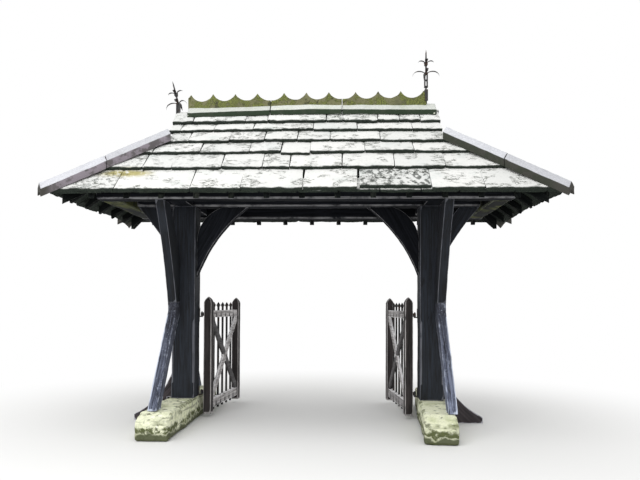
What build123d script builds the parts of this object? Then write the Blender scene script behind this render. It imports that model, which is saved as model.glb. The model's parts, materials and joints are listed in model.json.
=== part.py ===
from build123d import *
import os
from math import atan2, cos, degrees, hypot, radians, sin, sqrt, tan

os.makedirs("parts", exist_ok=True)

# Oak lychgate with a stone-slated gablet roof, in millimetres.
# Drawn about the middle of the passage, on the ground between the two posts: +X to the right, +Y to the
# back, +Z up. The last lines move it so that the origin is on the ground in the middle of the outline.

# Plinth stones
plinth_length = 2460
plinth_width = 350
plinth_height = 280
plinth_end_height = 200
weathering_run = 185
plinth_skew = -4.5

# Posts
post_spacing = 3000
post_section = 280
post_chamfer = 18
post_chamfer_low = 480
post_chamfer_high = 1200

# Beams and plates
beam_underside = 2615
beam_width = 200
beam_height = 190
plate_drop = 40
plate_width = 200
plate_height = 200
corner_lap = 85
plate_offset = 760
end_plate_offset = 2190
beam_chamfer = 15

# Raking struts and the braces that stand on them
strut_width = 100
strut_head_height = 1440
strut_head_depth = 165
strut_head_drop = 105
strut_shoulder = 135
strut_foot_front = 900
strut_foot_depth = 155
sway_brace_rear_height = 1900
sway_brace_reach = 700
sway_brace_head_depth = 250
sway_brace_bow = 35

# Braces in the plane of the posts
brace_width = 110
inner_brace_reach = 630
inner_brace_foot = 1750
inner_brace_foot_length = 460
inner_brace_head_length = 310
inner_brace_bow = 80
outer_brace_foot = 1970
outer_brace_foot_length = 264
outer_brace_head_length = 240
outer_brace_bow = 25

# Short spurs at the feet of the posts
spur_width = 120
spur_height = 340
spur_reach = 480
spur_toe_height = 70
spur_sag = 75

# Roof planes, measured on top of the slates
main_pitch = 45
main_overhang = 320
end_overhang = 410
verge_overhang = 70
hip_top_y = 400
slate_bed = 60
slate_step = 28
course_exposures = [398, 318, 248, 242, 201]
end_course_count = 3

# Rafters and ridge board
rafter_width = 60
rafter_depth = 75
rafter_notch = 16
couple_spacing = 375
couple_count = 9
jack_spacing = 375
jack_count = 2
end_rafter_spacing = 400
end_rafter_count = 2
rafter_foot_setback = 100
ridge_board_width = 40
ridge_board_depth = 170
hip_rafter_width = 60
hip_rafter_depth = 160
collar_height = 120
gablet_thickness = 30

# Ridge stones
cap_length = 3040
cap_shift = 40
cap_half_width = 110
cap_thickness = 45
crest_length = 2940
crest_shift = -20
crest_width = 70
crest_trough = 75
crest_peak = 165
crest_point = 7
crest_pitch = 276
crest_end_margin = 38
crest_joint_margin = 164
crest_peak_counts = [4, 3, 4]
stone_joint = 4

# Hip copings
coping_width = 200
coping_thickness = 90
coping_overhang = 60
coping_setback = 30
coping_joint = 0.48

# Finials
finial_inset = 2
finial_stand = 36
yoke_height = 145
yoke_thickness = 6
finial_shaft = 16
sleeve_width = 40
sleeve_low = 188
sleeve_high = 353
finial_above_sleeve = 294
point_length = 45
leaf_thickness = 6
leaf_width = 22
lower_leaf_base = 6
lower_leaf_reach = 165
lower_leaf_rise = 22
lower_leaf_tip = -40
bent_leaf_reach = 105
upper_leaf_base = 130
upper_leaf_reach = 95
upper_leaf_rise = 22
upper_leaf_tip = 8
slipped_drop = 350
slipped_lean = 15

# Gates
gate_open_angle = 83.5
pivot_from_post = 35
pivot_y = 100
pin_radius = 9
pin_clearance = 0.3
leaf_offset = 15
hinge_gap = 20
meeting_gap = 16
stile_thickness = 100
stile_width = 100
gate_bottom = 50
gate_shoulder = 1440
gate_point = 1520
stile_bow = 8
rail_thickness = 60
top_rail_low = 1250
top_rail_height = 90
bottom_rail_low = 110
bottom_rail_height = 110
cross_brace_width = 98
cross_brace_thickness = 28
bar_size = 24
bar_gap = 2
bar_count = 5
bar_low = 60
bar_neck = 1385
bar_tip = 1450
spear_width = 44
spear_point = 4
band_height = 45
band_thickness = 6
low_band_level = 300
low_band_length = 120
high_band_level = 1272
high_band_length = 420
shelf_thickness = 14
shelf_half_width = 12
pintle_plate_width = 60
pintle_plate_height = 115
pintle_plate_thickness = 6
pin_stand = 12

# Places worked out from the sizes above
post_x = post_spacing / 2
post_half = post_section / 2
post_inner = post_x - post_half
post_outer = post_x + post_half
plinth_half = plinth_length / 2
plinth_outer = post_inner + plinth_width
plate_outer = plate_offset + plate_width / 2
plate_inner = plate_offset - plate_width / 2
plate_underside = beam_underside - plate_drop
plate_top = plate_underside + plate_height
end_plate_outer = end_plate_offset + plate_width / 2
end_plate_inner = end_plate_offset - plate_width / 2
lap_level = plate_underside + corner_lap
main_slope = tan(radians(main_pitch))
main_cos = cos(radians(main_pitch))
main_sin = sin(radians(main_pitch))
main_bed_drop = slate_bed / main_cos
rafter_drop = rafter_depth / main_cos
eave_half_depth = plate_outer + main_overhang
eave_half_length = end_plate_outer + end_overhang
eave_height = plate_top - rafter_notch + rafter_drop + main_bed_drop - main_overhang * main_slope
end_couple_x = couple_spacing * (couple_count - 1) / 2
end_couple_face = end_couple_x + rafter_width / 2
hip_top_x = end_couple_face + verge_overhang
hip_run_x = eave_half_length - hip_top_x
hip_run_y = eave_half_depth - hip_top_y
hip_run = hypot(hip_run_x, hip_run_y)
hip_rise = hip_run_y * main_slope
end_slope = hip_rise / hip_run_x
end_pitch = degrees(atan2(end_slope, 1))
ridge_height = eave_height + eave_half_depth * main_slope
end_cos = cos(radians(end_pitch))
end_sin = sin(radians(end_pitch))
end_bed_drop = slate_bed / end_cos
ridge_bed = ridge_height - main_bed_drop
gablet_face = end_couple_face + gablet_thickness
gablet_foot = eave_height - end_bed_drop + (eave_half_length - end_couple_face) * end_slope
cap_rise = cap_thickness / main_cos
cap_top = ridge_height + cap_rise
finished = {}


def keep(piece, name):
    # a finished piece, to be exported at the end
    finished[name] = piece.part


def keep_pair(piece, name, twin_name):
    # the piece, and its mirror image on the other side of the passage
    keep(piece, name)
    with BuildPart() as twin:
        mirror(piece.part, about=Plane.YZ)
    keep(twin, twin_name)


def keep_four(piece, name):
    # the piece at the front right, and its mirror images at the other corners
    keep_pair(piece, f"{name}_front_right", f"{name}_front_left")
    with BuildPart() as rear:
        mirror(piece.part, about=Plane.XZ)
    keep_pair(rear, f"{name}_back_right", f"{name}_back_left")


def main_plane(drop=0):
    # the front slope's plane, lowered by drop, its normal up and to the front
    return Plane(
        origin=(0, 0, ridge_height - drop),
        x_dir=(1, 0, 0),
        z_dir=(0, -main_sin, main_cos),
    )


def end_plane(drop=0):
    # the right-hand slope's plane, lowered by drop, its normal up and to the right
    return Plane(
        origin=(eave_half_length, 0, eave_height - drop),
        x_dir=(0, 1, 0),
        z_dir=(end_sin, 0, end_cos),
    )


def hip_plane(offset=0):
    # the upright plane through the front right hip, its normal towards the short slope
    return Plane(
        origin=(eave_half_length, -eave_half_depth, 0),
        x_dir=(-hip_run_x / hip_run, hip_run_y / hip_run, 0),
        z_dir=(hip_run_y / hip_run, hip_run_x / hip_run, 0),
    ).offset(offset)


# Plinth stones: one long stone under each post, flush with the post's inner face, its ends weathered down
with BuildPart() as plinth_stone:
    with BuildSketch(Plane.YZ.offset(post_inner)):
        with BuildLine():
            Polyline(
                (-plinth_half, 0),
                (-plinth_half, plinth_end_height),
                (-plinth_half + weathering_run, plinth_height),
                (plinth_half - weathering_run, plinth_height),
                (plinth_half, plinth_end_height),
                (plinth_half, 0),
                close=True,
            )
        make_face()
    extrude(amount=plinth_width)
with BuildPart() as left_plinth:
    mirror(plinth_stone.part, about=Plane.YZ)
keep(left_plinth, "plinth_stone_left")

# The right stone was laid askew, its front end in towards the passage
with BuildPart() as right_plinth:
    with Locations(Location((post_inner, 0, 0), (0, 0, plinth_skew))):
        add(plinth_stone.part.moved(Location((-post_inner, 0, 0))))
keep(right_plinth, "plinth_stone_right")

# Posts: square oak, with stopped chamfers up the middle of the four arrises
with BuildPart() as post:
    with BuildSketch(Plane.XY.offset(plinth_height)):
        with Locations((post_x, 0)):
            Rectangle(post_section, post_section)
    extrude(amount=beam_underside - plinth_height)
    with BuildSketch(Plane.XY.offset(post_chamfer_low)):
        with Locations((post_x, 0)):
            with GridLocations(post_section, post_section, 2, 2):
                Rectangle(post_chamfer * sqrt(2), post_chamfer * sqrt(2), rotation=45)
    extrude(amount=post_chamfer_high - post_chamfer_low, mode=Mode.SUBTRACT)
keep_pair(post, "post_right", "post_left")

# Raking struts: from near the end of the stone up to the post's face, flush with its outer side
strut_inner = post_outer - strut_width
foot_front_y = post_half + strut_foot_front
with BuildPart() as raking_strut:
    with BuildSketch(Plane.YZ.offset(strut_inner)):
        with BuildLine():
            Polyline(
                (-post_half, strut_head_height),
                (-post_half - strut_head_depth, strut_head_height),
                (-post_half - strut_head_depth, strut_head_height - strut_head_drop),
                (-foot_front_y, plinth_height),
                (-foot_front_y + strut_foot_depth, plinth_height),
                (-post_half, strut_head_height - strut_shoulder),
                close=True,
            )
        make_face()
    extrude(amount=strut_width)
keep_four(raking_strut, "raking_strut")

# Sway braces: curved braces standing on the strut heads and carrying the front and back plates
brace_head_y = post_half + sway_brace_reach
with BuildPart() as sway_brace:
    with BuildSketch(Plane.YZ.offset(strut_inner)):
        with BuildLine():
            foot = (-post_half - strut_head_depth, strut_head_height)
            head = (-brace_head_y, plate_underside)
            rear_head = (-brace_head_y + sway_brace_head_depth, plate_underside)
            rear_foot = (-post_half, sway_brace_rear_height)
            SagittaArc(foot, head, -sway_brace_bow)
            Line(head, rear_head)
            SagittaArc(rear_head, rear_foot, sway_brace_bow)
            Line(rear_foot, (-post_half, strut_head_height))
            Line((-post_half, strut_head_height), foot)
        make_face()
    extrude(amount=strut_width)
keep_four(sway_brace, "sway_brace")


def beam_brace(face_x, side, foot_height, foot_length, reach, head_length, bow):
    # a curved brace from a side face of the right post, at face_x, to the underside of the centre beam
    with BuildPart() as brace:
        with BuildSketch(Plane.XZ):
            with BuildLine():
                foot = (face_x, foot_height)
                head = (face_x + side * reach, beam_underside)
                inner_head = (face_x + side * (reach - head_length), beam_underside)
                inner_foot = (face_x, foot_height + foot_length)
                SagittaArc(foot, head, side * bow)
                Line(head, inner_head)
                SagittaArc(inner_head, inner_foot, -side * bow)
                Line(inner_foot, foot)
            make_face()
        extrude(amount=brace_width / 2, both=True)
    return brace


# Inner braces: the deep curved pair that arches the passage
inner_brace = beam_brace(
    post_inner, -1, inner_brace_foot, inner_brace_foot_length,
    inner_brace_reach, inner_brace_head_length, inner_brace_bow,
)
keep_pair(inner_brace, "inner_brace_right", "inner_brace_left")

# Outer braces: shorter, out to the ends of the centre beam
outer_brace_reach = end_plate_inner - post_outer
outer_brace = beam_brace(
    post_outer, 1, outer_brace_foot, outer_brace_foot_length,
    outer_brace_reach, outer_brace_head_length, outer_brace_bow,
)
keep_pair(outer_brace, "outer_brace_right", "outer_brace_left")

# Side spurs: short knees from the outer side of each post down over the stone to the ground
with BuildPart() as side_spur:
    with BuildSketch(Plane.XZ):
        with BuildLine():
            spur_top = (post_outer, plinth_height + spur_height)
            spur_toe = (post_outer + spur_reach, spur_toe_height)
            SagittaArc(spur_top, spur_toe, -spur_sag)
            Polyline(
                spur_toe,
                (post_outer + spur_reach, 0),
                (post_outer, 0),
                spur_top,
            )
        make_face()
    extrude(amount=spur_width / 2, both=True)
with BuildPart() as right_spur:
    add(side_spur.part)
    add(right_plinth.part, mode=Mode.SUBTRACT)
keep(right_spur, "side_spur_right")
with BuildPart() as left_spur:
    mirror(side_spur.part, about=Plane.YZ)
    add(left_plinth.part, mode=Mode.SUBTRACT)
keep(left_spur, "side_spur_left")

# Centre beam: over both posts and out to the end plates, halved where the cross beams pass
beam_middle = beam_underside + beam_height / 2
with BuildPart() as centre_beam:
    with BuildSketch(Plane.XY.offset(beam_underside)):
        Rectangle(2 * end_plate_inner, beam_width)
    extrude(amount=beam_height)
    chamfer(centre_beam.edges().filter_by(Axis.X).group_by(Axis.Z)[0], length=beam_chamfer)
    with BuildSketch(Plane.XY.offset(beam_middle)):
        with GridLocations(post_spacing, 0, 2, 1):
            Rectangle(beam_width, beam_width)
    extrude(amount=beam_height / 2, mode=Mode.SUBTRACT)
keep(centre_beam, "centre_beam")

# Cross beams: front to back over each post, halved over the centre beam
with BuildPart() as cross_beam:
    with BuildSketch(Plane.XY.offset(beam_underside)):
        with Locations((post_x, 0)):
            Rectangle(beam_width, 2 * plate_inner)
    extrude(amount=beam_height)
    with BuildSketch(Plane.XY.offset(beam_underside)):
        with Locations((post_x, 0)):
            Rectangle(beam_width, beam_width)
    extrude(amount=beam_height / 2, mode=Mode.SUBTRACT)
keep_pair(cross_beam, "cross_beam_right", "cross_beam_left")

# Front and back plates: the lower half of each corner lap
with BuildPart() as front_plate:
    with BuildSketch(Plane.XY.offset(plate_underside)):
        with Locations((0, -plate_offset)):
            Rectangle(2 * end_plate_outer, plate_width)
    extrude(amount=plate_height)
    chamfer(front_plate.edges().filter_by(Axis.X).group_by(Axis.Z)[0], length=beam_chamfer)
    with BuildSketch(Plane.XY.offset(lap_level)):
        with Locations((-end_plate_offset, -plate_offset), (end_plate_offset, -plate_offset)):
            Rectangle(plate_width, plate_width)
    extrude(amount=plate_height - corner_lap, mode=Mode.SUBTRACT)
keep(front_plate, "front_plate")
with BuildPart() as back_plate:
    mirror(front_plate.part, about=Plane.XZ)
keep(back_plate, "back_plate")

# End plates: the upper half of each corner lap
with BuildPart() as end_plate:
    with BuildSketch(Plane.XY.offset(plate_underside)):
        with Locations((end_plate_offset, 0)):
            Rectangle(plate_width, 2 * plate_inner)
    extrude(amount=plate_height)
    chamfer(end_plate.edges().filter_by(Axis.Y).group_by(Axis.Z)[0], length=beam_chamfer)
    with BuildSketch(Plane.XY.offset(lap_level)):
        with Locations((end_plate_offset, 0)):
            Rectangle(plate_width, 2 * plate_outer)
    extrude(amount=plate_height - corner_lap)
keep_pair(end_plate, "end_plate_right", "end_plate_left")

# Ridge board: between the heads of the rafter couples
ridge_board_top = ridge_bed - ridge_board_width / 2 * main_slope
with BuildPart() as ridge_board:
    with BuildSketch(Plane.XY.offset(ridge_board_top - ridge_board_depth)):
        Rectangle(2 * end_couple_face, ridge_board_width)
    extrude(amount=ridge_board_depth)
keep(ridge_board, "ridge_board")

# Rafters of the two long slopes, notched over the plates
rafter_foot_y = eave_half_depth - rafter_foot_setback
seat_y = (ridge_bed - rafter_drop - plate_top) / main_slope

rafter_outline = [
    (-rafter_foot_y, ridge_bed - rafter_foot_y * main_slope),
    (-ridge_board_width / 2, ridge_board_top),
    (-ridge_board_width / 2, ridge_board_top - rafter_drop),
    (-seat_y, plate_top),
    (-plate_outer, plate_top),
    (-plate_outer, ridge_bed - rafter_drop - plate_outer * main_slope),
    (-rafter_foot_y, ridge_bed - rafter_drop - rafter_foot_y * main_slope),
]
couple_places = [i * couple_spacing - end_couple_x for i in range(couple_count)]
collar_half = (ridge_bed - gablet_foot) / main_slope
with BuildPart() as common_rafters:
    for x in couple_places:
        with BuildSketch(Plane.YZ.offset(x - rafter_width / 2)):
            Polygon(*rafter_outline, align=None)
        extrude(amount=rafter_width)
    mirror(about=Plane.XZ)
keep(common_rafters, "common_rafters")

# Collars: between the two end couples of rafters, where the short slopes' rafters are fixed
with BuildPart() as collars:
    for x in (-end_couple_x, end_couple_x):
        with BuildSketch(Plane.XY.offset(gablet_foot - collar_height)):
            with Locations((x, 0)):
                Rectangle(rafter_width, 2 * collar_half)
        extrude(amount=collar_height)
    add(common_rafters.part, mode=Mode.SUBTRACT)
keep(collars, "collars")

# Jack rafters: short ones in front of and behind the hips, cut against the hip rafters
with BuildPart() as jack_rafter:
    for i in range(jack_count):
        jack_x = end_couple_x + (i + 1) * jack_spacing
        with BuildSketch(Plane.YZ.offset(jack_x - rafter_width / 2)):
            Polygon(*rafter_outline, align=None)
        extrude(amount=rafter_width)
    split(bisect_by=hip_plane(-hip_rafter_width / 2), keep=Keep.BOTTOM)
with BuildPart() as jack_rafters:
    add(jack_rafter.part)
    mirror(about=Plane.YZ)
    mirror(about=Plane.XZ)
keep(jack_rafters, "jack_rafters")

# Hip rafters: upright planks on the four hips, backed to both slopes
hip_foot = rafter_foot_setback * hip_run / hip_run_y
hip_line = eave_height - main_bed_drop
hip_climb = hip_rise / hip_run
hip_length = (eave_half_length - end_couple_face) * hip_run / hip_run_x
with BuildPart() as hip_rafter:
    with BuildSketch(hip_plane(-hip_rafter_width / 2)):
        with BuildLine():
            Polyline(
                (hip_foot, hip_line + hip_foot * hip_climb + slate_bed),
                (hip_length + hip_rafter_width, hip_line + hip_length * hip_climb + 2 * slate_bed),
                (hip_length + hip_rafter_width, hip_line + hip_length * hip_climb - hip_rafter_depth),
                (hip_foot, hip_line + hip_foot * hip_climb - hip_rafter_depth),
                close=True,
            )
        make_face()
    extrude(amount=hip_rafter_width)
    split(bisect_by=main_plane(main_bed_drop), keep=Keep.BOTTOM)
    split(bisect_by=end_plane(end_bed_drop), keep=Keep.BOTTOM)
    split(bisect_by=Plane.YZ.offset(end_couple_face), keep=Keep.TOP)
    add(front_plate.part, mode=Mode.SUBTRACT)
    add(end_plate.part, mode=Mode.SUBTRACT)
with BuildPart() as hip_rafters:
    add(hip_rafter.part)
    mirror(about=Plane.YZ)
    mirror(about=Plane.XZ)
keep(hip_rafters, "hip_rafters")

# End rafters: up the short slopes to the collar under each gablet, the outer ones cut at the hips
end_rafter_drop = rafter_depth / end_cos
end_foot_x = eave_half_length - rafter_foot_setback
end_foot_bed = eave_height - end_bed_drop + rafter_foot_setback * end_slope
end_plate_bed = eave_height - end_bed_drop + (eave_half_length - end_plate_outer) * end_slope
end_seat_x = end_plate_outer - (plate_top + end_rafter_drop - end_plate_bed) / end_slope
end_rafter_outline = [
    (end_foot_x, end_foot_bed),
    (end_couple_face, gablet_foot),
    (end_couple_face, gablet_foot - end_rafter_drop),
    (end_seat_x, plate_top),
    (end_plate_outer, plate_top),
    (end_plate_outer, end_plate_bed - end_rafter_drop),
    (end_foot_x, end_foot_bed - end_rafter_drop),
]
with BuildPart() as side_rafters:
    for i in range(end_rafter_count):
        with BuildSketch(Plane.XZ.offset((i + 1) * end_rafter_spacing - rafter_width / 2)):
            Polygon(*end_rafter_outline, align=None)
        extrude(amount=rafter_width)
    split(bisect_by=hip_plane(hip_rafter_width / 2), keep=Keep.TOP)
with BuildPart() as end_rafters:
    with BuildSketch(Plane.XZ):
        Polygon(*end_rafter_outline, align=None)
    extrude(amount=rafter_width / 2, both=True)
    add(side_rafters.part)
    mirror(side_rafters.part, about=Plane.XZ)
    mirror(about=Plane.YZ)
keep(end_rafters, "end_rafters")

# Gablets: small boarded triangles under the ends of the ridge
with BuildPart() as gablet:
    with BuildSketch(Plane.YZ.offset(end_couple_face)):
        with BuildLine():
            Polyline(
                (-collar_half, gablet_foot), (collar_half, gablet_foot), (0, ridge_bed), close=True
            )
        make_face()
    extrude(amount=gablet_thickness)
keep_pair(gablet, "gablet_right", "gablet_left")


def stepped_courses(exposures, slope_length):
    # the side view of a slope of slates: courses that diminish from the eave, each lapped on the last
    edge = 0
    points = [(0, 0)]
    for exposure in exposures:
        points.append((edge, slate_bed))
        edge += exposure
        points.append((edge, slate_bed - slate_step))
    points.append((edge, slate_bed))
    points.append((slope_length, slate_bed))
    points.append((slope_length, 0))
    return points


# Slates of the long slopes: laid as thick stepped courses up to the ridge and cut at the hips
main_eave_plane = Plane(
    origin=(0, -eave_half_depth + slate_bed * main_sin, eave_height - slate_bed * main_cos),
    x_dir=(0, main_cos, main_sin),
    z_dir=(1, 0, 0),
)
main_courses = stepped_courses(course_exposures, eave_half_depth / main_cos)
with BuildPart() as slate_wing:
    with BuildSketch(main_eave_plane.offset(hip_top_x)):
        Polygon(*main_courses, align=None)
    extrude(amount=hip_run_x)
    split(bisect_by=hip_plane(), keep=Keep.BOTTOM)
with BuildPart() as front_slates:
    with BuildSketch(main_eave_plane.offset(-hip_top_x)):
        Polygon(*main_courses, align=None)
    extrude(amount=2 * hip_top_x)
    add(slate_wing.part)
    mirror(slate_wing.part, about=Plane.YZ)
    split(bisect_by=Plane.XZ, keep=Keep.TOP)
keep(front_slates, "front_slates")
with BuildPart() as back_slates:
    mirror(front_slates.part, about=Plane.XZ)
keep(back_slates, "back_slates")

# Slates of the short slopes: cut at the hips, and tucked under the verges of the long slopes
end_exposures = [exposure * main_sin / end_sin for exposure in course_exposures[:end_course_count]]
back_hip_plane = Plane(
    origin=(eave_half_length, eave_half_depth, 0),
    x_dir=(hip_run_x / hip_run, hip_run_y / hip_run, 0),
    z_dir=(hip_run_y / hip_run, -hip_run_x / hip_run, 0),
)
back_bed_plane = Plane(origin=(0, 0, ridge_bed), x_dir=(1, 0, 0), z_dir=(0, main_sin, main_cos))
end_eave_plane = Plane(
    origin=(eave_half_length - slate_bed * end_sin, 0, eave_height - slate_bed * end_cos),
    x_dir=(-end_cos, 0, end_sin),
    z_dir=(0, 1, 0),
)

end_courses = stepped_courses(end_exposures, (eave_half_length - end_couple_x) / end_cos)
with BuildPart() as end_slope_blank:
    with BuildSketch(end_eave_plane):
        Polygon(*end_courses, align=None)
    extrude(amount=eave_half_depth, both=True)
with BuildPart() as hipped_slates:
    add(end_slope_blank.part)
    split(bisect_by=Plane.YZ.offset(hip_top_x), keep=Keep.TOP)
    split(bisect_by=hip_plane(), keep=Keep.TOP)
    split(bisect_by=back_hip_plane, keep=Keep.TOP)
with BuildPart() as tucked_slates:
    add(end_slope_blank.part)
    split(bisect_by=Plane.YZ.offset(hip_top_x), keep=Keep.BOTTOM)
    split(bisect_by=Plane.YZ.offset(gablet_face), keep=Keep.TOP)
    split(bisect_by=main_plane(main_bed_drop), keep=Keep.BOTTOM)
    split(bisect_by=back_bed_plane, keep=Keep.BOTTOM)
with BuildPart() as end_slates:
    add(hipped_slates.part)
    add(tucked_slates.part)
keep_pair(end_slates, "right_slates", "left_slates")

# Ridge capping: inverted V stones over the top courses
with BuildPart() as ridge_capping:
    with BuildSketch(Plane.YZ.offset(cap_shift - cap_length / 2)):
        with BuildLine():
            cap_edge = ridge_height - cap_half_width * main_slope
            Polyline(
                (-cap_half_width, cap_edge),
                (-cap_half_width, cap_edge + cap_rise),
                (0, cap_top),
                (cap_half_width, cap_edge + cap_rise),
                (cap_half_width, cap_edge),
                (0, ridge_height),
                close=True,
            )
        make_face()
    extrude(amount=cap_length)
keep(ridge_capping, "ridge_capping")

# Ridge cresting: three stones, hollowed in round scallops between points, cut to sit astride the capping
crest_start = crest_shift - crest_length / 2
crest_hollow = crest_peak - crest_trough
crest_radius = ((crest_pitch / 2) ** 2 + crest_hollow**2) / (2 * crest_hollow)
crest_top = cap_top + crest_peak - crest_point
crest_foot = cap_top - crest_width
peak_x = crest_start + crest_end_margin
hollow_places = [peak_x - crest_pitch / 2]
joint_places = []
for peaks in crest_peak_counts:
    hollow_places += [peak_x + (i + 0.5) * crest_pitch for i in range(peaks)]
    peak_x += (peaks - 1) * crest_pitch
    joint_places.append(peak_x + crest_joint_margin)
    peak_x += 2 * crest_joint_margin
    hollow_places.append(peak_x - crest_pitch / 2)
with BuildPart() as ridge_cresting:
    with BuildSketch(Plane.XZ):
        with Locations((crest_shift, (crest_top + crest_foot) / 2)):
            Rectangle(crest_length, crest_top - crest_foot)
        with Locations([(x, cap_top + crest_trough + crest_radius) for x in hollow_places[:-1]]):
            Circle(crest_radius, mode=Mode.SUBTRACT)
        with Locations([(x, cap_top) for x in joint_places[:-1]]):
            Rectangle(stone_joint, 2 * crest_peak, mode=Mode.SUBTRACT)
    extrude(amount=crest_width / 2, both=True)
    add(ridge_capping.part, mode=Mode.SUBTRACT)
    split(bisect_by=main_plane(-cap_rise), keep=Keep.TOP)
    mirror(about=Plane.XZ)
keep(ridge_cresting, "ridge_cresting")

# Hip copings: two long stones down each hip, saddle-backed, and hollowed below to sit on both slopes
coping_low = -coping_overhang
coping_high = hip_run - coping_setback
coping_break = coping_low + coping_joint * (coping_high - coping_low)

coping_outline = [
    (coping_low, eave_height + coping_low * hip_climb - coping_width),
    (coping_low, eave_height + coping_low * hip_climb + coping_width),
    (coping_high, eave_height + coping_high * hip_climb + coping_width),
    (coping_high, eave_height + coping_high * hip_climb - coping_width),
]
with BuildPart() as coping_front:
    with BuildSketch(hip_plane()):
        Polygon(*coping_outline, align=None)
    extrude(amount=-coping_width / 2)
    split(bisect_by=main_plane(), keep=Keep.TOP)
    split(bisect_by=main_plane(-coping_thickness), keep=Keep.BOTTOM)
with BuildPart() as coping_side:
    with BuildSketch(hip_plane()):
        Polygon(*coping_outline, align=None)
    extrude(amount=coping_width / 2)
    split(bisect_by=end_plane(), keep=Keep.TOP)
    split(bisect_by=end_plane(-coping_thickness), keep=Keep.BOTTOM)
with BuildPart() as hip_copings:
    add(coping_front.part)
    add(coping_side.part)
    with BuildSketch(hip_plane()):
        with Locations((coping_break, eave_height + coping_break * hip_climb)):
            Rectangle(stone_joint, 4 * coping_width)
    extrude(amount=coping_width, both=True, mode=Mode.SUBTRACT)
    mirror(about=Plane.YZ)
    mirror(about=Plane.XZ)
keep(hip_copings, "hip_copings")


def finial(x, foot, lean, inner_leaf_reach):
    # a yoke that clips over the cresting, a shaft with a sleeve, and a pointed head with two whorls
    tilt_cos = cos(radians(lean))
    tilt_sin = sin(radians(lean))
    head_base = (x, 0, foot + sleeve_high)
    ridge_face = Plane(origin=head_base, x_dir=(tilt_cos, 0, tilt_sin), z_dir=(0, -1, 0))
    cross_face = Plane(origin=head_base, x_dir=(0, 1, 0), z_dir=(tilt_cos, 0, tilt_sin))
    leaves = [
        (ridge_face, -1, lower_leaf_base, lower_leaf_reach, lower_leaf_rise, lower_leaf_tip),
        (ridge_face, 1, lower_leaf_base, inner_leaf_reach, lower_leaf_rise, lower_leaf_tip),
        (cross_face, -1, lower_leaf_base, lower_leaf_reach, lower_leaf_rise, lower_leaf_tip),
        (cross_face, 1, lower_leaf_base, lower_leaf_reach, lower_leaf_rise, lower_leaf_tip),
        (ridge_face, -1, upper_leaf_base, upper_leaf_reach, upper_leaf_rise, upper_leaf_tip),
        (ridge_face, 1, upper_leaf_base, upper_leaf_reach, upper_leaf_rise, upper_leaf_tip),
        (cross_face, -1, upper_leaf_base, upper_leaf_reach, upper_leaf_rise, upper_leaf_tip),
        (cross_face, 1, upper_leaf_base, upper_leaf_reach, upper_leaf_rise, upper_leaf_tip),
    ]
    with BuildPart() as ironwork:
        with BuildSketch(Plane.XY.offset(foot)):
            with Locations((x, 0)):
                Rectangle(sleeve_width, crest_width + 2 * yoke_thickness)
                Rectangle(sleeve_width, crest_width, mode=Mode.SUBTRACT)
        extrude(amount=yoke_height)
        with BuildSketch(Plane.XY.offset(foot + yoke_height)):
            with Locations((x, 0)):
                Rectangle(sleeve_width, crest_width + 2 * yoke_thickness)
        extrude(amount=yoke_thickness)
        with BuildSketch(Plane.XY.offset(foot + yoke_height)):
            with Locations((x, 0)):
                Rectangle(finial_shaft, finial_shaft)
        extrude(amount=sleeve_high - yoke_height)
        with BuildSketch(Plane.XY.offset(foot + sleeve_low)):
            with Locations((x, 0)):
                Rectangle(sleeve_width, sleeve_width)
        extrude(amount=sleeve_high - sleeve_low)
        with BuildSketch(ridge_face):
            Polygon(
                (-finial_shaft / 2, -finial_shaft / 2),
                (-finial_shaft / 2, finial_above_sleeve - point_length),
                (0, finial_above_sleeve),
                (finial_shaft / 2, finial_above_sleeve - point_length),
                (finial_shaft / 2, -finial_shaft / 2),
                align=None,
            )
        extrude(amount=finial_shaft / 2, both=True)
        for face, side, base, reach, rise, tip in leaves:
            inner_reach = reach - leaf_thickness
            with BuildSketch(face):
                with BuildLine():
                    ThreePointArc((0, base), (side * reach / 2, base + rise), (side * reach, base + tip))
                    Line((side * reach, base + tip), (side * inner_reach, base + tip))
                    ThreePointArc(
                        (side * inner_reach, base + tip),
                        (side * inner_reach / 2, base + rise - leaf_thickness),
                        (0, base - leaf_thickness),
                    )
                    Line((0, base - leaf_thickness), (0, base))
                make_face()
            extrude(amount=leaf_width / 2, both=True)
    return ironwork


# Finials: wrought iron, the right one upright on the end of the cresting
finial_x = crest_start + crest_length - finial_inset
finial_base = cap_top + finial_stand
right_finial_blank = finial(finial_x, finial_base, 0, lower_leaf_reach)
with BuildPart() as right_finial:
    add(right_finial_blank.part)
    add(ridge_cresting.part, mode=Mode.SUBTRACT)
keep(right_finial, "finial_right")

# The left one has slipped off the ridge, and hangs beside the verge with its head leaning out
slipped_x = -(hip_top_x + sleeve_width / 2)
left_finial_blank = finial(slipped_x, finial_base - slipped_drop, slipped_lean, bent_leaf_reach)
with BuildPart() as left_finial:
    add(left_finial_blank.part)
    add(ridge_cresting.part, mode=Mode.SUBTRACT)
keep(left_finial, "finial_left")

# Gates: a pair of leaves, drawn on the left one at its open angle and mirrored to the right
pivot_x = post_inner - pivot_from_post
leaf_length = pivot_x - meeting_gap / 2
rail_start = hinge_gap + stile_width
rail_end = leaf_length - stile_width
rail_low_top = bottom_rail_low + bottom_rail_height
rail_offset = leaf_offset + (stile_thickness - rail_thickness) / 2
open_cos = cos(radians(gate_open_angle))
open_sin = sin(radians(gate_open_angle))


def leaf_plane(offset):
    # the left leaf's own upright plane, x along the leaf from its pivot, at a depth behind the pivot
    return Plane(
        origin=(-pivot_x, pivot_y, 0),
        x_dir=(open_cos, open_sin, 0),
        z_dir=(open_sin, -open_cos, 0),
    ).offset(offset)


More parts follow.
